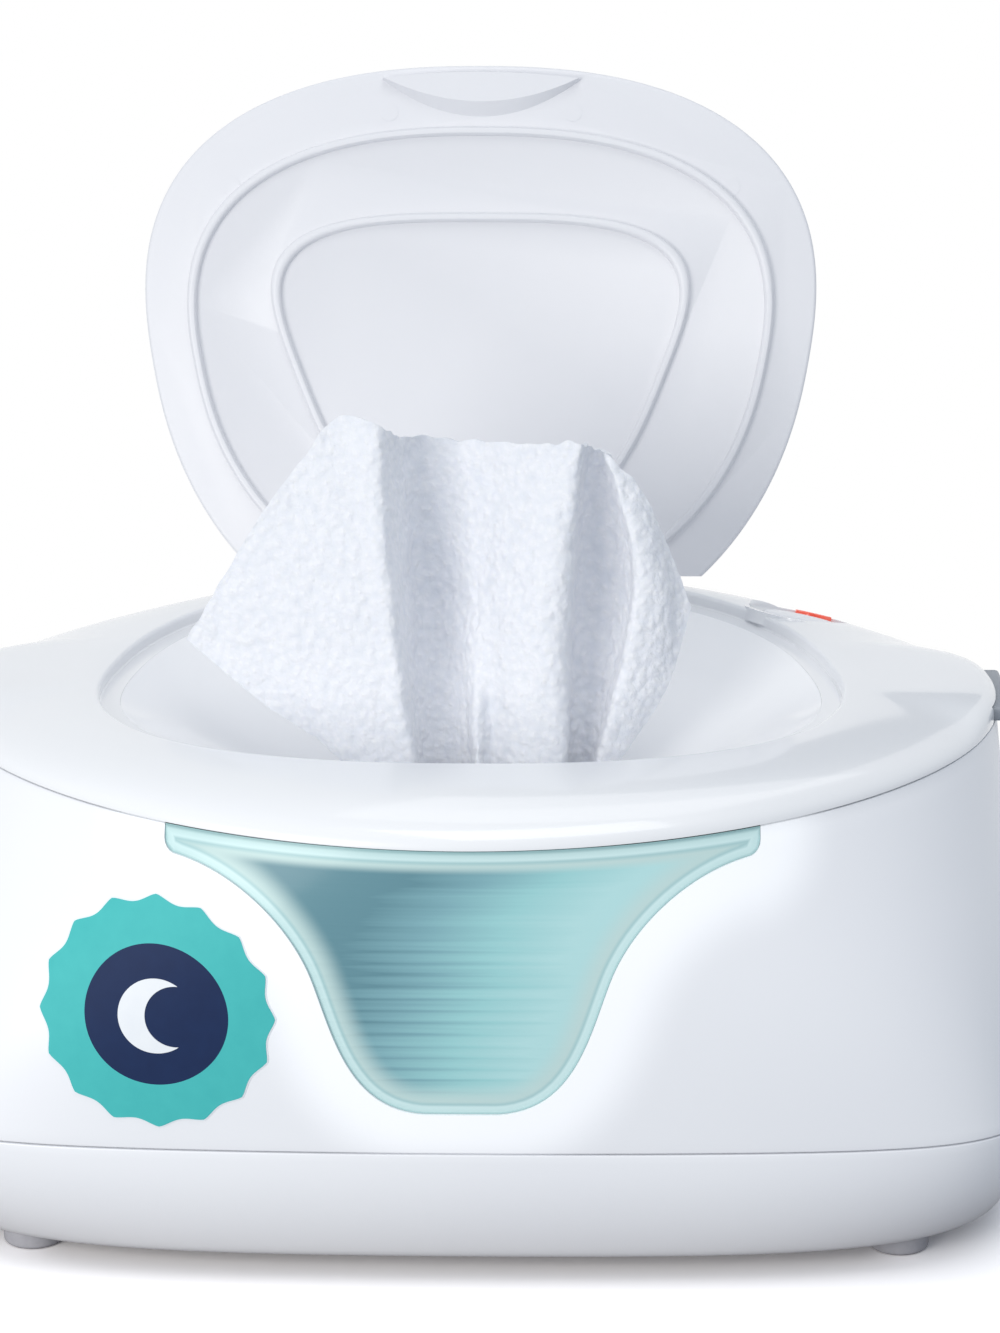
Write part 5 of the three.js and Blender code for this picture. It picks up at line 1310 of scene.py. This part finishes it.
def cover_skin():
    backing = LID_GAP + STEP_BACKING
    under = STEP_DEPTH + LEDGE_THICKNESS
    ledge_back = POCKET_BACK - LEDGE
    rings = [seam_ring(SEAM_ROUND * into, SEAM_GAP / 2 + SEAM_ROUND * up) for up, into in QUARTER[:-1]]
    rings += [crown_ring(degrees) for degrees in crown_angles()]
    rings += [recess_ring(LID_GAP + RIM_EDGE * out, RIM_EDGE * down) for out, down in reversed(QUARTER)]
    rings += [
        recess_ring(LID_GAP, STEP_DEPTH - SEAM_ROUND),
        recess_ring(LID_GAP - SEAM_ROUND, STEP_DEPTH),
        recess_ring(LID_GAP - LEDGE, STEP_DEPTH, ledge_back),
        recess_ring(LID_GAP - LEDGE, under, ledge_back),
        recess_ring(backing, under),
        recess_ring(backing, CASE_WALL),
    ]
    rings += [crown_ring(degrees, CASE_WALL, backing) for degrees in reversed(crown_angles()[::3])]
    rings += [seam_ring(CASE_WALL, SEAM_GAP / 2)]
    shell = loft(rings, closed=True)
    side = POCKET_HALF + LID_EAR
    trough = box((-side, TROUGH_FRONT, POCKET_BOTTOM - POCKET_FLOOR),
                 (side, POCKET_BACK + STEP_BACKING, LEDGE_AT_AXIS))
    pocket = box((-POCKET_HALF, POCKET_FRONT, POCKET_BOTTOM),
                 (POCKET_HALF, POCKET_BACK, LEDGE_AT_AXIS + CUT_OVER))
    backing_disc = moved(post(BACKING_RADIUS, 0, 0, BACKING_BASE, -DISH_DEPTH / 2), BUTTON_FRAME)
    edge = DISH_DEPTH / 2
    dish = turned([
        (0, -DISH_DEPTH),
        *arc((DISH_RADIUS - edge, edge - DISH_DEPTH), edge, -90, 0),
        *arc((DISH_RADIUS + edge, -edge), edge, 180, 120, 4),
        (DISH_RADIUS + CUT_OVER, CUT_OVER * 2),
        (0, CUT_OVER * 2),
    ], 2 * ROUND_COUNT)
    bore = post(BUTTON_RADIUS + BUTTON_GAP, 0, 0, BACKING_BASE - RUN_GAP, CUT_OVER, 2 * ROUND_COUNT)
    spread = FIT_GAP / ARC_INNER
    slot = arc_sector(ARC_INNER - FIT_GAP, ARC_OUTER + FIT_GAP, spread, BACKING_BASE - RUN_GAP, CUT_OVER)
    rooms = gathered(latch_room(), mirrored(latch_room()))
    shell = joined(shell, trough, backing_disc)
    in_frame = [moved(tool, BUTTON_FRAME) for tool in (dish, bore, slot)]
    return cut(shell, pocket, *in_frame, rooms, grip_notch())


# Dispenser bowl


def slot_ring(grow, height):
    shape = (SLOT_WIDTH / 2 + grow, SLOT_DEPTH / 2 + grow, SLOT_POWER, 0)
    return ring_at(shape, height, SLOT_Y)


SLOT_HEIGHT = recess_height(SLOT_Y) - STEP_DEPTH - BOWL_DEPTH
BOWL_BACK = POCKET_BACK - LEDGE - BOWL_GAP
COLLAR = LID_GAP - LEDGE - BOWL_GAP


def bowl_ring(share, drop):
    high_ring = recess_ring(COLLAR - BOWL_EDGE, STEP_DEPTH + BOWL_EDGE / 2, BOWL_BACK - BOWL_EDGE)
    low_ring = slot_ring(SLOT_ROUND, SLOT_HEIGHT)

    def point(turn):
        high, low = high_ring(turn), low_ring(turn)
        fall = sin(pi / 2 * share)
        x, y = high.xy.lerp(low.xy, share)
        return Vector((x, y, lerp(high.z, low.z, fall) - drop))

    return point


def dispenser_bowl():
    flange_high = STEP_DEPTH + LEDGE_THICKNESS + FIT_GAP
    flange_low = flange_high + BOWL_FLANGE_THICKNESS
    shares = [i / BOWL_STEPS for i in range(BOWL_STEPS)]
    third = BOWL_EDGE / 3
    rings = [
        recess_ring(COLLAR, flange_high, BOWL_BACK),
        recess_ring(COLLAR, STEP_DEPTH + third, BOWL_BACK),
        recess_ring(COLLAR - third, STEP_DEPTH, BOWL_BACK - third),
    ]
    rings += [bowl_ring(share, 0) for share in shares]
    rings += [slot_ring(SLOT_ROUND * out, SLOT_HEIGHT - SLOT_ROUND * down) for out, down in reversed(QUARTER)]
    rings += [slot_ring(0, SLOT_HEIGHT - SLOT_LIP), slot_ring(BOWL_WALL, SLOT_HEIGHT - SLOT_LIP)]
    rings += [bowl_ring(share, BOWL_WALL) for share in reversed(shares[1:])]
    rings += [
        bowl_ring(0, flange_low - STEP_DEPTH - BOWL_EDGE / 2),
        recess_ring(COLLAR + BOWL_FLANGE, flange_low, BOWL_BACK + BOWL_FLANGE),
        recess_ring(COLLAR + BOWL_FLANGE, flange_high, BOWL_BACK + BOWL_FLANGE),
    ]
    side = POCKET_HALF + LID_EAR + FIT_GAP
    trough = box((-side, TROUGH_FRONT - FIT_GAP, POCKET_BOTTOM - POCKET_FLOOR - CUT_OVER),
                 (side, POCKET_BACK + CUT_OVER, LEDGE_AT_AXIS + CUT_OVER))
    return cut(loft(rings, closed=True), trough, grip_room())


# Flip lid, in its own frame: the hinge axis is the origin and it lies shut towards -Y

LID_TOP = BARREL_RADIUS
LID_UNDER = LID_TOP - LID_THICKNESS
LID_FRAME = Matrix.Translation((0, LID_AXIS_Y, LID_AXIS_Z)) @ Matrix.Rotation(-pi / 2 - LID_LEAN, 4, "X")


def lid_ring(outline, grow, height, back=FAR):
    def point(turn):
        x, y = tapered_point(outline, turn, grow, back)
        return Vector((x, y - LID_AXIS_Y, height))

    return point


def raised_rib(outline):
    """A rounded bead, cut off before the hinge."""
    half = RIB_WIDTH / 2
    foot = half + RIB_FOOT
    root = LID_UNDER + LID_THICKNESS / 3
    rings = [lid_ring(outline, half, root), lid_ring(outline, foot, LID_UNDER)]
    for i in range(RIB_STEPS + 1):
        turn = pi * i / RIB_STEPS
        reach = copysign(abs(cos(turn)) ** RIB_BLUNTNESS, cos(turn)) * half
        rise = (RIB_HEIGHT - RIB_FILLET) * sin(turn) ** RIB_BLUNTNESS
        rings.append(lid_ring(outline, reach, LID_UNDER - RIB_FILLET - rise))
    rings += [lid_ring(outline, -foot, LID_UNDER), lid_ring(outline, -half, root)]
    rib = loft(rings, closed=True)
    end = TROUGH_FRONT - RUN_GAP - LID_AXIS_Y
    sliced(rib, (0, end, 0), (0, 1, 0), clear_outer=True)
    bmesh.ops.holes_fill(rib, edges=[edge for edge in rib.edges if edge.is_boundary])
    return rib


def flip_lid():
    levels = [(into, LID_UNDER + LID_EDGE * up) for up, into in QUARTER]
    levels += [(into, LID_TOP - LID_EDGE * down) for into, down in QUARTER]
    rings = [lid_ring(LID_OUTLINE, -LID_EDGE * into, height, LID_AXIS_Y) for into, height in levels]
    barrel_half = BARREL_LENGTH / 2
    low, high = (-2 * BARREL_RADIUS, -BARREL_RADIUS), (BARREL_RADIUS, LID_TOP + CUT_OVER)
    beside = gathered(
        box((barrel_half, *low), (LID_HALF_WIDTH, *high)),
        box((-LID_HALF_WIDTH, *low), (-barrel_half, *high)),
    )
    to_lid = Matrix.Translation((0, -LID_AXIS_Y, 0))
    under = LID_UNDER + LID_THICKNESS / 3
    walls = [grip_ring(0, GRIP_DEPTH, under)]
    for side, front, down in GRIP_SHARES:
        depth = GRIP_DEPTH - GRIP_SLOPE * front
        walls.append(grip_ring(-GRIP_SLOPE * side, depth, LID_UNDER - GRIP_HEIGHT * down))
    grip = moved(loft(walls, GRIP_COUNT), to_lid)
    floor_inset = GRIP_WALL + SCOOP_SLOPE
    scoop = moved(loft([
        grip_ring(-floor_inset, GRIP_DEPTH - floor_inset, LID_TOP - GRIP_SCOOP),
        grip_ring(-GRIP_WALL, GRIP_DEPTH - GRIP_WALL, LID_TOP),
        grip_ring(-GRIP_WALL, GRIP_DEPTH - GRIP_WALL, LID_TOP + CUT_OVER),
    ], GRIP_COUNT), to_lid)
    plate = cut(loft(rings), beside)
    barrel = rod(BARREL_RADIUS, (-barrel_half, 0, 0), (barrel_half, 0, 0))
    marks = gathered(*[
        post(MARK_RADIUS, side * x, LID_FRONT + y - LID_AXIS_Y, LID_UNDER - MARK_HEIGHT, under)
        for side in (-1, 1) for x, y in MARK_PLACES
    ])
    solid = joined(plate, barrel, raised_rib(OUTER_RIB), raised_rib(INNER_RIB), grip, marks)
    return moved(cut(solid, scoop), LID_FRAME)


# Power button, indicator and latches


def power_button():
    top = BUTTON_PROUD - DISH_DEPTH
    base = -DISH_DEPTH - BUTTON_SKIRT
    corner = (BUTTON_RADIUS - BUTTON_ROUND, top - BUTTON_TRAVEL / 2 - BUTTON_ROUND)
    profile = [
        (0, base - STEM_LENGTH),
        (BUTTON_STEM, base - STEM_LENGTH),
        (BUTTON_STEM, base),
        (BUTTON_RADIUS, base),
        *arc(corner, BUTTON_ROUND, 0, 80),
        (BUTTON_RADIUS * 0.6, top - BUTTON_DOME),
        (BUTTON_RADIUS * 0.3, top - BUTTON_DOME / 6),
        (0, top),
    ]
    return moved(turned(profile, 2 * ROUND_COUNT), BUTTON_FRAME)


def indicator():
    lens = arc_sector(ARC_INNER, ARC_OUTER, 0, BACKING_BASE, ARC_PROUD - DISH_DEPTH)
    upper = [edge for edge in lens.edges if all(vert.co.z > -DISH_DEPTH for vert in edge.verts)]
    return moved(bevelled(lens, upper, ARC_ROUND, 3), BUTTON_FRAME)


def latch_button():
    outer = SEAM_X + LATCH_OUT
    inner = outer - LATCH_DEPTH
    half = LATCH_LENGTH / 2
    key = rounded_box((inner, -half, LATCH_BASE), (outer, half, LATCH_TOP), LATCH_TALL / 3.2, 4)
    hook_outer = SEAM_X - HOOK_BACK
    back = hook_outer - HOOK_BARB - HOOK_THICKNESS
    top = LATCH_TOP - LATCH_TALL / 3
    side = HOOK_WIDTH / 2
    tip = SEAM_TOP - HOOK_DROP
    stem = box((back, -side, LATCH_BASE), (inner + CUT_OVER, side, top))
    hook = box((back, -side, tip), (back + HOOK_THICKNESS, side, top))
    barb = box((back, -side, tip), (hook_outer, side, tip + HOOK_BARB))
    return joined(key, stem, hook, barb)


def add_cover():
    piece("cover_casing", cover_skin(), "cover", GLOSS, ["cover_shell"])
    half = HINGE_MIDDLE / 2
    piece("cover_knuckle", hinge_arm(-half, half, 1), "cover", WHITE)
    piece("wipe_bowl", dispenser_bowl(), "cover", BOWL_PAINTED_LIGHTER, ["dispenser_bowl"])
    piece("flip_top", flip_lid(), "flip_lid", LID, ["lid"])
    piece("round_button", power_button(), "power_button", WHITE, ["power_button"])
    piece("red_indicator", indicator(), "cover", RED, ["indicator_lens"])
    piece("right_latch_key", latch_button(), "latch_right", GREY, ["latch_button_right"])
    piece("left_latch_key", mirrored(latch_button()), "latch_left", GREY, ["latch_button_left"])


# Tub, seal and liner


def oval_ring(half_width, half_depth, height):
    return ring_at((half_width, half_depth, TUB_POWER, 0), height)


def tub_ring(height, grow):
    draft = TUB_DRAFT * (1 - (height - TUB_FLOOR) / (LEDGE_HEIGHT - TUB_FLOOR))
    return oval_ring(TUB_WIDTH / 2 - draft + grow, TUB_DEPTH / 2 - draft + grow, height)


def cushion(width, depth, levels, count):
    """A soft block, from how far it is drawn in and how high it is at each of its levels."""
    return loft([oval_ring(width / 2 - inset, depth / 2 - inset, height) for inset, height in levels], count)


FLANGE_BASE = LEDGE_HEIGHT + FIT_GAP
SEAL_BASE = FLANGE_BASE + FLANGE + FIT_GAP


def wipe_tub():
    outer = [tub_ring(TUB_FLOOR + TUB_FOOT * up, -TUB_FOOT * into) for up, into in QUARTER]
    inset = CASE_WALL + 2 * RUN_GAP
    inner = [tub_ring(TUB_FLOOR + TUB_WALL + (TUB_FOOT - TUB_WALL) * up, -TUB_WALL - TUB_FOOT * into)
             for up, into in reversed(QUARTER)]
    rings = outer + [
        tub_ring(FLANGE_BASE, 0),
        level(body_section, FLANGE_BASE, inset),
        level(body_section, FLANGE_BASE + FLANGE, inset),
        tub_ring(FLANGE_BASE + FLANGE, -TUB_WALL + TUB_LIP),
        tub_ring(FLANGE_BASE + FLANGE - TUB_LIP, -TUB_WALL),
    ] + inner
    return loft(rings, TUB_COUNT)


def cover_seal():
    crest = SEAL_WIDTH / 3
    top = SEAL_BASE + SEAL_HEIGHT
    return loft([
        tub_ring(top, SEAL_OUT),
        tub_ring(top, SEAL_OUT + SEAL_WIDTH),
        tub_ring(SEAL_BASE + crest / 2, SEAL_OUT + SEAL_WIDTH - crest / 4),
        tub_ring(SEAL_BASE, SEAL_OUT + SEAL_WIDTH - crest),
        tub_ring(SEAL_BASE, SEAL_OUT + crest),
        tub_ring(SEAL_BASE + crest / 2, SEAL_OUT + crest / 4),
    ], TUB_COUNT, closed=True)


def wipe_stack():
    """Folded wipes in interleaved layers, drawn in a little at each fold."""
    base = TUB_FLOOR + TUB_WALL + FIT_GAP
    layer = (STACK_HEIGHT - STACK_CROWN) / STACK_LAYERS
    levels = []
    for i in range(STACK_LAYERS):
        foot = TUB_FOOT / 2 if i == 0 else 0
        for share in (0, 0.15, 0.4, 0.6, 0.85):
            inset = STACK_GROOVE * abs(2 * share - 1) ** 3 + foot * (1 - share)
            levels.append((inset, base + (i + share) * layer))
    top = base + STACK_HEIGHT - STACK_CROWN
    levels.append((STACK_GROOVE, top))
    for share in (0.3, 0.6, 0.85, 1):
        inset = STACK_SHOULDER * (1 - cos(pi / 2 * share)) + STACK_GROOVE
        levels.append((inset, top + STACK_CROWN / 2 * sin(pi / 2 * share)))
    for share in (0.3, 0.7, 1):
        inset = lerp(STACK_SHOULDER, STACK_DEPTH / 2 * STACK_TOP_SHARE, share)
        levels.append((inset, top + STACK_CROWN * (1 + sin(pi / 2 * share)) / 2))
    return cushion(STACK_WIDTH, STACK_DEPTH, levels, TUB_COUNT)


def insulation():
    top = TUB_FLOOR - FIT_GAP - PLATE_THICKNESS - 2 * FIT_GAP - PAD_THICKNESS
    base = top - INSULATION_THICKNESS
    levels = [(INSULATION_BULGE * abs(2 * share - 1) ** 4, lerp(base, top, share))
              for share in (0, 0.1, 0.3, 0.5, 0.7, 0.9, 1)]
    return cushion(INSULATION_WIDTH, INSULATION_DEPTH, levels, TUB_COUNT // 2)


def add_inside():
    piece("refill_tub", wipe_tub(), "base", INNER, ["wipe_tub"])
    piece("silicone_seal", cover_seal(), "cover", SEAL, ["cover_seal"])
    stack = piece("folded_wipes", wipe_stack(), "base", STACK, ["wipe_stack"])
    pad = piece("felt_pad", insulation(), "base", FELT, ["insulation_pad"])


# Wipe


def through(values, place):
    """A smooth curve through evenly spaced values."""
    last = len(values) - 1
    i = min(last - 1, int(place))
    f = place - i
    a, b, c, d = (values[min(last, max(0, k))] for k in (i - 1, i, i + 1, i + 2))
    square = 2 * a - 5 * b + 4 * c - d
    cube = 3 * b - a - 3 * c + d
    return b + 0.5 * ((c - a) * f + square * f * f + cube * f ** 3)


def wipe_point(across, up):
    """A place on the cloth: across from 0 to 1 between its side edges, up from the slot to the free edge."""
    folds = len(WIPE_FOLDS) - 1
    columns = [through(column, across * folds) for column in zip(*WIPE_FOLDS)]
    foot_x, foot_y, low_x, low_y, mid_x, mid_y, mid_z, edge_x, edge_y, edge_z = columns
    foot_z = SLOT_HEIGHT - SLOT_LIP
    return Vector((
        through((foot_x, low_x, mid_x, edge_x), 3 * up),
        through((foot_y, low_y, mid_y, edge_y), 3 * up),
        through((foot_z, WIPE_LOW, mid_z, edge_z), 3 * up),
    ))


def running_lengths(points):
    """The distance walked along a row of points, at each point."""
    lengths = [0]
    for start, end in zip(points, points[1:]):
        lengths.append(lengths[-1] + (end - start).length)
    return lengths


def cloth():
    """The pleated sheet, embossed with small pebbles."""
    bm = bmesh.new()
    bmesh.ops.create_grid(bm, x_segments=WIPE_ACROSS, y_segments=WIPE_ALONG, size=0.5, calc_uvs=True)
    widths = running_lengths([wipe_point(i / WIPE_ACROSS, WIDEST_SHARE) for i in range(WIPE_ACROSS + 1)])
    heights = [
        running_lengths([wipe_point(i / WIPE_ACROSS, j / WIPE_ALONG) for j in range(WIPE_ALONG + 1)])
        for i in range(WIPE_ACROSS + 1)
    ]
    places = {}
    for vert in bm.verts:
        i = round((vert.co.x + 0.5) * WIPE_ACROSS)
        j = round((vert.co.y + 0.5) * WIPE_ALONG)
        places[vert] = (i, j)
        vert.co = wipe_point(i / WIPE_ACROSS, j / WIPE_ALONG)
        waver = noise.noise(Vector((widths[i] / WAVER_PITCH, 0, 0)))
        vert.co.z += EDGE_WAVER * waver * (j / WIPE_ALONG) ** WAVER_POWER
    bm.normal_update()
    area = sum(face.calc_area() for face in bm.faces)
    flat = bm.loops.layers.uv.verify()
    for face in bm.faces:
        for loop in face.loops:
            i, j = places[loop.vert]
            loop[flat].uv = (widths[i] * MM, heights[i][j] * MM)
    lifts = {}
    for vert, (i, j) in places.items():
        near = noise.voronoi(vert.co / EMBOSS_PITCH)[0][0]
        pebble = WIPE_EMBOSS * (1 - 2 * near * near)
        ripple = RIPPLE_HEIGHT * noise.noise(vert.co / RIPPLE_PITCH)
        lifts[vert] = vert.normal * (min(1, j / WIPE_ALONG / PLAIN_SHARE) * (pebble + ripple))
    for vert, lift in lifts.items():
        vert.co += lift
    bmesh.ops.solidify(bm, geom=bm.faces[:], thickness=WIPE_THICKNESS)
    longest = max(column[-1] for column in heights)
    return bm, widths[-1] * MM, longest * MM, area * MM * MM


def add_wipe():
    bm, width, length, area = cloth()
    sheet = piece("pleated_wipe", bm, "cover", WIPE, ["wipe"], sharp=60)
    anchor = (0, SHIFT + SLOT_Y * MM, (SLOT_HEIGHT - SLOT_LIP) * MM)
    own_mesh(sheet)


# Badge


def on_front(bm, proud):
    """Wraps a flat shape in x and z on the casing's front."""
    for vert in bm.verts:
        vert.co.y = front_y(vert.co.x, vert.co.z) - proud
    bm.normal_update()
    if sum(face.normal.y for face in bm.faces) > 0:
        bmesh.ops.reverse_faces(bm, faces=bm.faces)
    bmesh.ops.solidify(bm, geom=bm.faces[:], thickness=BADGE_THICKNESS)
    return bm


def flat_disc(radius_at, hole=0.0):
    """Rings in x and z between an outline, given as a radius for each turn, and a hole or the middle."""
    bm = bmesh.new()
    turn = bm.verts.layers.float.new("turn")
    bmesh.ops.create_circle(bm, segments=BADGE_COUNT, radius=1)
    verts = list(bm.verts)
    loop = list(bm.edges)
    for vert in verts:
        vert[turn] = atan2(vert.co.y, vert.co.x)
    steps = BADGE_RINGS if hole else BADGE_RINGS + 1
    for i in range(BADGE_RINGS + 1):
        if i:
            made = bmesh.ops.extrude_edge_only(bm, edges=loop)["geom"]
            verts = verts_of(made)
            loop = rim_of(made, verts)
        for vert in verts:
            reach = lerp(radius_at(vert[turn]), hole, i / steps)
            vert.co = Vector((BADGE_X + reach * cos(vert[turn]), 0, BADGE_Z + reach * sin(vert[turn])))
    if not hole:
        bmesh.ops.contextual_create(bm, geom=loop)
    return bm


def crescent():
    """A plain crescent between an outer arc and a flatter inner one with the same tips."""
    bm = bmesh.new()
    bmesh.ops.create_grid(bm, x_segments=MOON_STEPS, y_segments=MOON_ROWS, size=0.5)
    tip = Vector((cos(MOON_TIP), sin(MOON_TIP))) * MOON_RADIUS
    bite = Vector((tip.x - MOON_OFFSET, tip.y))
    inner_tip = atan2(bite.y, bite.x)
    for vert in bm.verts:
        along, across = vert.co.x + 0.5, vert.co.y + 0.5
        outer = lerp(MOON_TIP, 2 * pi - MOON_TIP, along)
        inner = lerp(inner_tip, 2 * pi - inner_tip, along)
        x = lerp(MOON_RADIUS * cos(outer), MOON_OFFSET + bite.length * cos(inner), across)
        z = lerp(MOON_RADIUS * sin(outer), bite.length * sin(inner), across)
        vert.co = Vector((BADGE_X + x, 0, BADGE_Z + z))
    bmesh.ops.remove_doubles(bm, verts=bm.verts, dist=WELD)
    bmesh.ops.recalc_face_normals(bm, faces=bm.faces)
    return bm


def badge_radius(turn):
    """Blunt points with hollows between them."""
    return BADGE_RADIUS - BADGE_DIP * abs(sin(BADGE_POINTS / 2 * turn)) ** BADGE_BLUNTNESS


def add_badge():
    for name, bm, layers, ink in (
        ("backing", flat_disc(lambda turn: badge_radius(turn) + BADGE_BORDER), 1, PALE_INK),
        ("rim", flat_disc(badge_radius, hole=BADGE_DISC), 2, TEAL_INK),
        ("disc", flat_disc(lambda turn: BADGE_DISC), 2, NAVY_INK),
        ("moon", crescent(), 3, PALE_INK),
    ):
        piece("badge_" + name, on_front(bm, layers * BADGE_THICKNESS), "base", ink)


# Finishes of the nodes kept from the frame

SCREWS = [part + "_screw_" + corner for part in ("base", "cover") for corner in CORNER_NAMES]
PINS = ["cover_hinge_pin", "lid_hinge_pin_left", "lid_hinge_pin_right"]
KEPT = (
    (STEEL, [*SCREWS, *PINS, "board_screw_1", "board_screw_2", "thermal_fuse"]),
    (FILM, ["heater_pad"]),
    (ALUMINIUM, ["heater_plate"]),
    (BLACK, ["thermostat", "power_inlet"]),
    (BOARD, ["control_board", "night_light_board", "switch_board"]),
    (RED_WIRE, ["heater_lead", "fuse_lead"]),
    (BLACK_WIRE, ["light_lead"]),
    (DIFFUSER, ["light_diffuser"]),
    (INNER, ["cover_liner"]),
)


def dress(node, finish):
    node.data.materials.clear()
    node.data.materials.append(finish)
    weld = node.modifiers.new("weld", "WELD")
    weld.merge_threshold = KEPT_WELD
    soften = node.modifiers.new("soften", "BEVEL")
    soften.width = KEPT_ROUND
    soften.segments = 2
    soften.limit_method = "ANGLE"
    soften.angle_limit = KEPT_ANGLE


def dress_kept_nodes():
    for finish, names in KEPT:
        for name in names:
            dress(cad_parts[name], finish)


# Studio


def linked(name, data, place=(0, 0, 0), way=None):
    """Puts a lamp, camera or sheet in the scene, its front turned along a way."""
    thing = bpy.data.objects.new(name, data)
    thing.location = place
    if way:
        thing.rotation_euler = way.to_track_quat("-Z", "Y").to_euler()
    bpy.context.scene.collection.objects.link(thing)
    return thing


def bearing(azimuth, elevation):
    """The direction from the casing at an azimuth, counted from straight behind, and an elevation."""
    return Vector((sin(azimuth) * cos(elevation), cos(azimuth) * cos(elevation), sin(elevation)))


def lamp(name, place, target, size, power, colour):
    data = bpy.data.lights.new(name, "AREA")
    data.shape = "SQUARE"
    data.size = size
    data.energy = power
    data.color = colour
    linked(name, data, place, Vector(target) - Vector(place))


def background(nodes, colour, strength):
    node = nodes.new("ShaderNodeBackground")
    node.inputs["Color"].default_value = colour
    node.inputs["Strength"].default_value = strength
    return node.outputs[0]


def room():
    """A white room to the camera and in reflections, and a plain ambient light on the casing."""
    world = bpy.data.worlds.new("studio")
    bpy.context.scene.world = world
    world.use_nodes = True
    nodes, links = world.node_tree.nodes, world.node_tree.links
    nodes.clear()
    path = nodes.new("ShaderNodeLightPath")
    seen = path.outputs["Is Camera Ray"]
    for name in ("Is Glossy Ray", "Is Transmission Ray"):
        add = nodes.new("ShaderNodeMath")
        add.use_clamp = True
        links.new(seen, add.inputs[0])
        links.new(path.outputs[name], add.inputs[1])
        seen = add.outputs[0]
    mix = nodes.new("ShaderNodeMixShader")
    links.new(seen, mix.inputs[0])
    links.new(background(nodes, AMBIENT_COLOUR, AMBIENT_STRENGTH), mix.inputs[1])
    links.new(background(nodes, (1, 1, 1, 1), 1), mix.inputs[2])
    links.new(mix.outputs[0], nodes.new("ShaderNodeOutputWorld").inputs[0])


def studio():
    room()
    for name, settings in LAMPS.items():
        lamp(name, *settings)
    screen()
    floor()


def stage_sheet(name, size, paint, place=(0, 0, 0), way=None):
    """A flat square sheet with a paint, set in the scene for the studio."""
    bm = bmesh.new()
    bmesh.ops.create_grid(bm, x_segments=1, y_segments=1, size=size)
    mesh = bpy.data.meshes.new(name)
    bm.to_mesh(mesh)
    bm.free()
    mesh.materials.append(paint.material)
    thing = linked(name, mesh, place, way)
    return thing


def screen():
    """A studio screen up behind the casing, white at its left end, that the cover's gloss mirrors."""
    paint = Paint("screen", Roughness=1, Specular_IOR_Level=0)
    paint.feed("Base Color", (0, 0, 0))
    x, _, _ = paint.axes()
    paint.glow(paint.blend(paint.share(x, SCREEN_TURN, kind="SMOOTHSTEP"), (1, 1, 1), SCREEN_DARK), 1)
    way = bearing(SCREEN_BEARING, SCREEN_ELEVATION)
    sheet = stage_sheet("screen", 1, paint, SCREEN_TARGET + way * SCREEN_DISTANCE, way)
    sheet.scale = SCREEN_SCALE


def floor():
    """A white table whose shadows show near the casing and fade into the white room."""
    paint = Paint("floor", Roughness=0.6, Specular_IOR_Level=0.1)
    speck = paint.noise(30, 2)
    paint.colour(speck, FLOOR_BOUNCE, tuple(0.98 * c for c in FLOOR_BOUNCE))
    x, y, _ = paint.axes()
    past_x = x.math("MAXIMUM", x.math("ABSOLUTE", x) - FLOOR_CORE_X, 0)
    past_y = y.math("MAXIMUM", y.math("ABSOLUTE", y) - FLOOR_CORE_Y, 0)
    distance = (past_x * past_x + past_y * past_y) ** 0.5
    fade = paint.share(distance, (FLOOR_CLEAR, FLOOR_FADED), (1.0, 0.0))
    paint.feed("Alpha", fade)
    white = paint.node("BsdfDiffuse", {}, {"Color": (*FLOOR_LOOK, 1)})
    clear = paint.node("BsdfTransparent", {}, {})
    look = paint.node("MixShader", {}, {0: fade, 1: clear, 2: white})
    seen = paint.node("LightPath", {}, {}, "Is Camera Ray")
    whole = paint.node("MixShader", {}, {0: seen, 1: Value(paint, paint.shader.outputs[0]), 2: look})
    paint.tree.links.new(whole.socket, paint.tree.nodes["Material Output"].inputs["Surface"])
    stage_sheet("floor", FLOOR_SIZE, paint)


def camera():
    data = bpy.data.cameras.new("camera")
    data.sensor_width = CAMERA_SENSOR
    data.lens = CAMERA_LENS
    data.clip_start = CAMERA_CLIP
    way = bearing(pi - CAMERA_AZIMUTH, CAMERA_ELEVATION)
    bpy.context.scene.camera = linked("camera", data, CAMERA_TARGET + CAMERA_DISTANCE * way, -way)


camera()
studio()
add_base()
add_cover()
add_inside()
add_wipe()
add_badge()
dress_kept_nodes()
bpy.context.scene.view_settings.view_transform = "Standard"
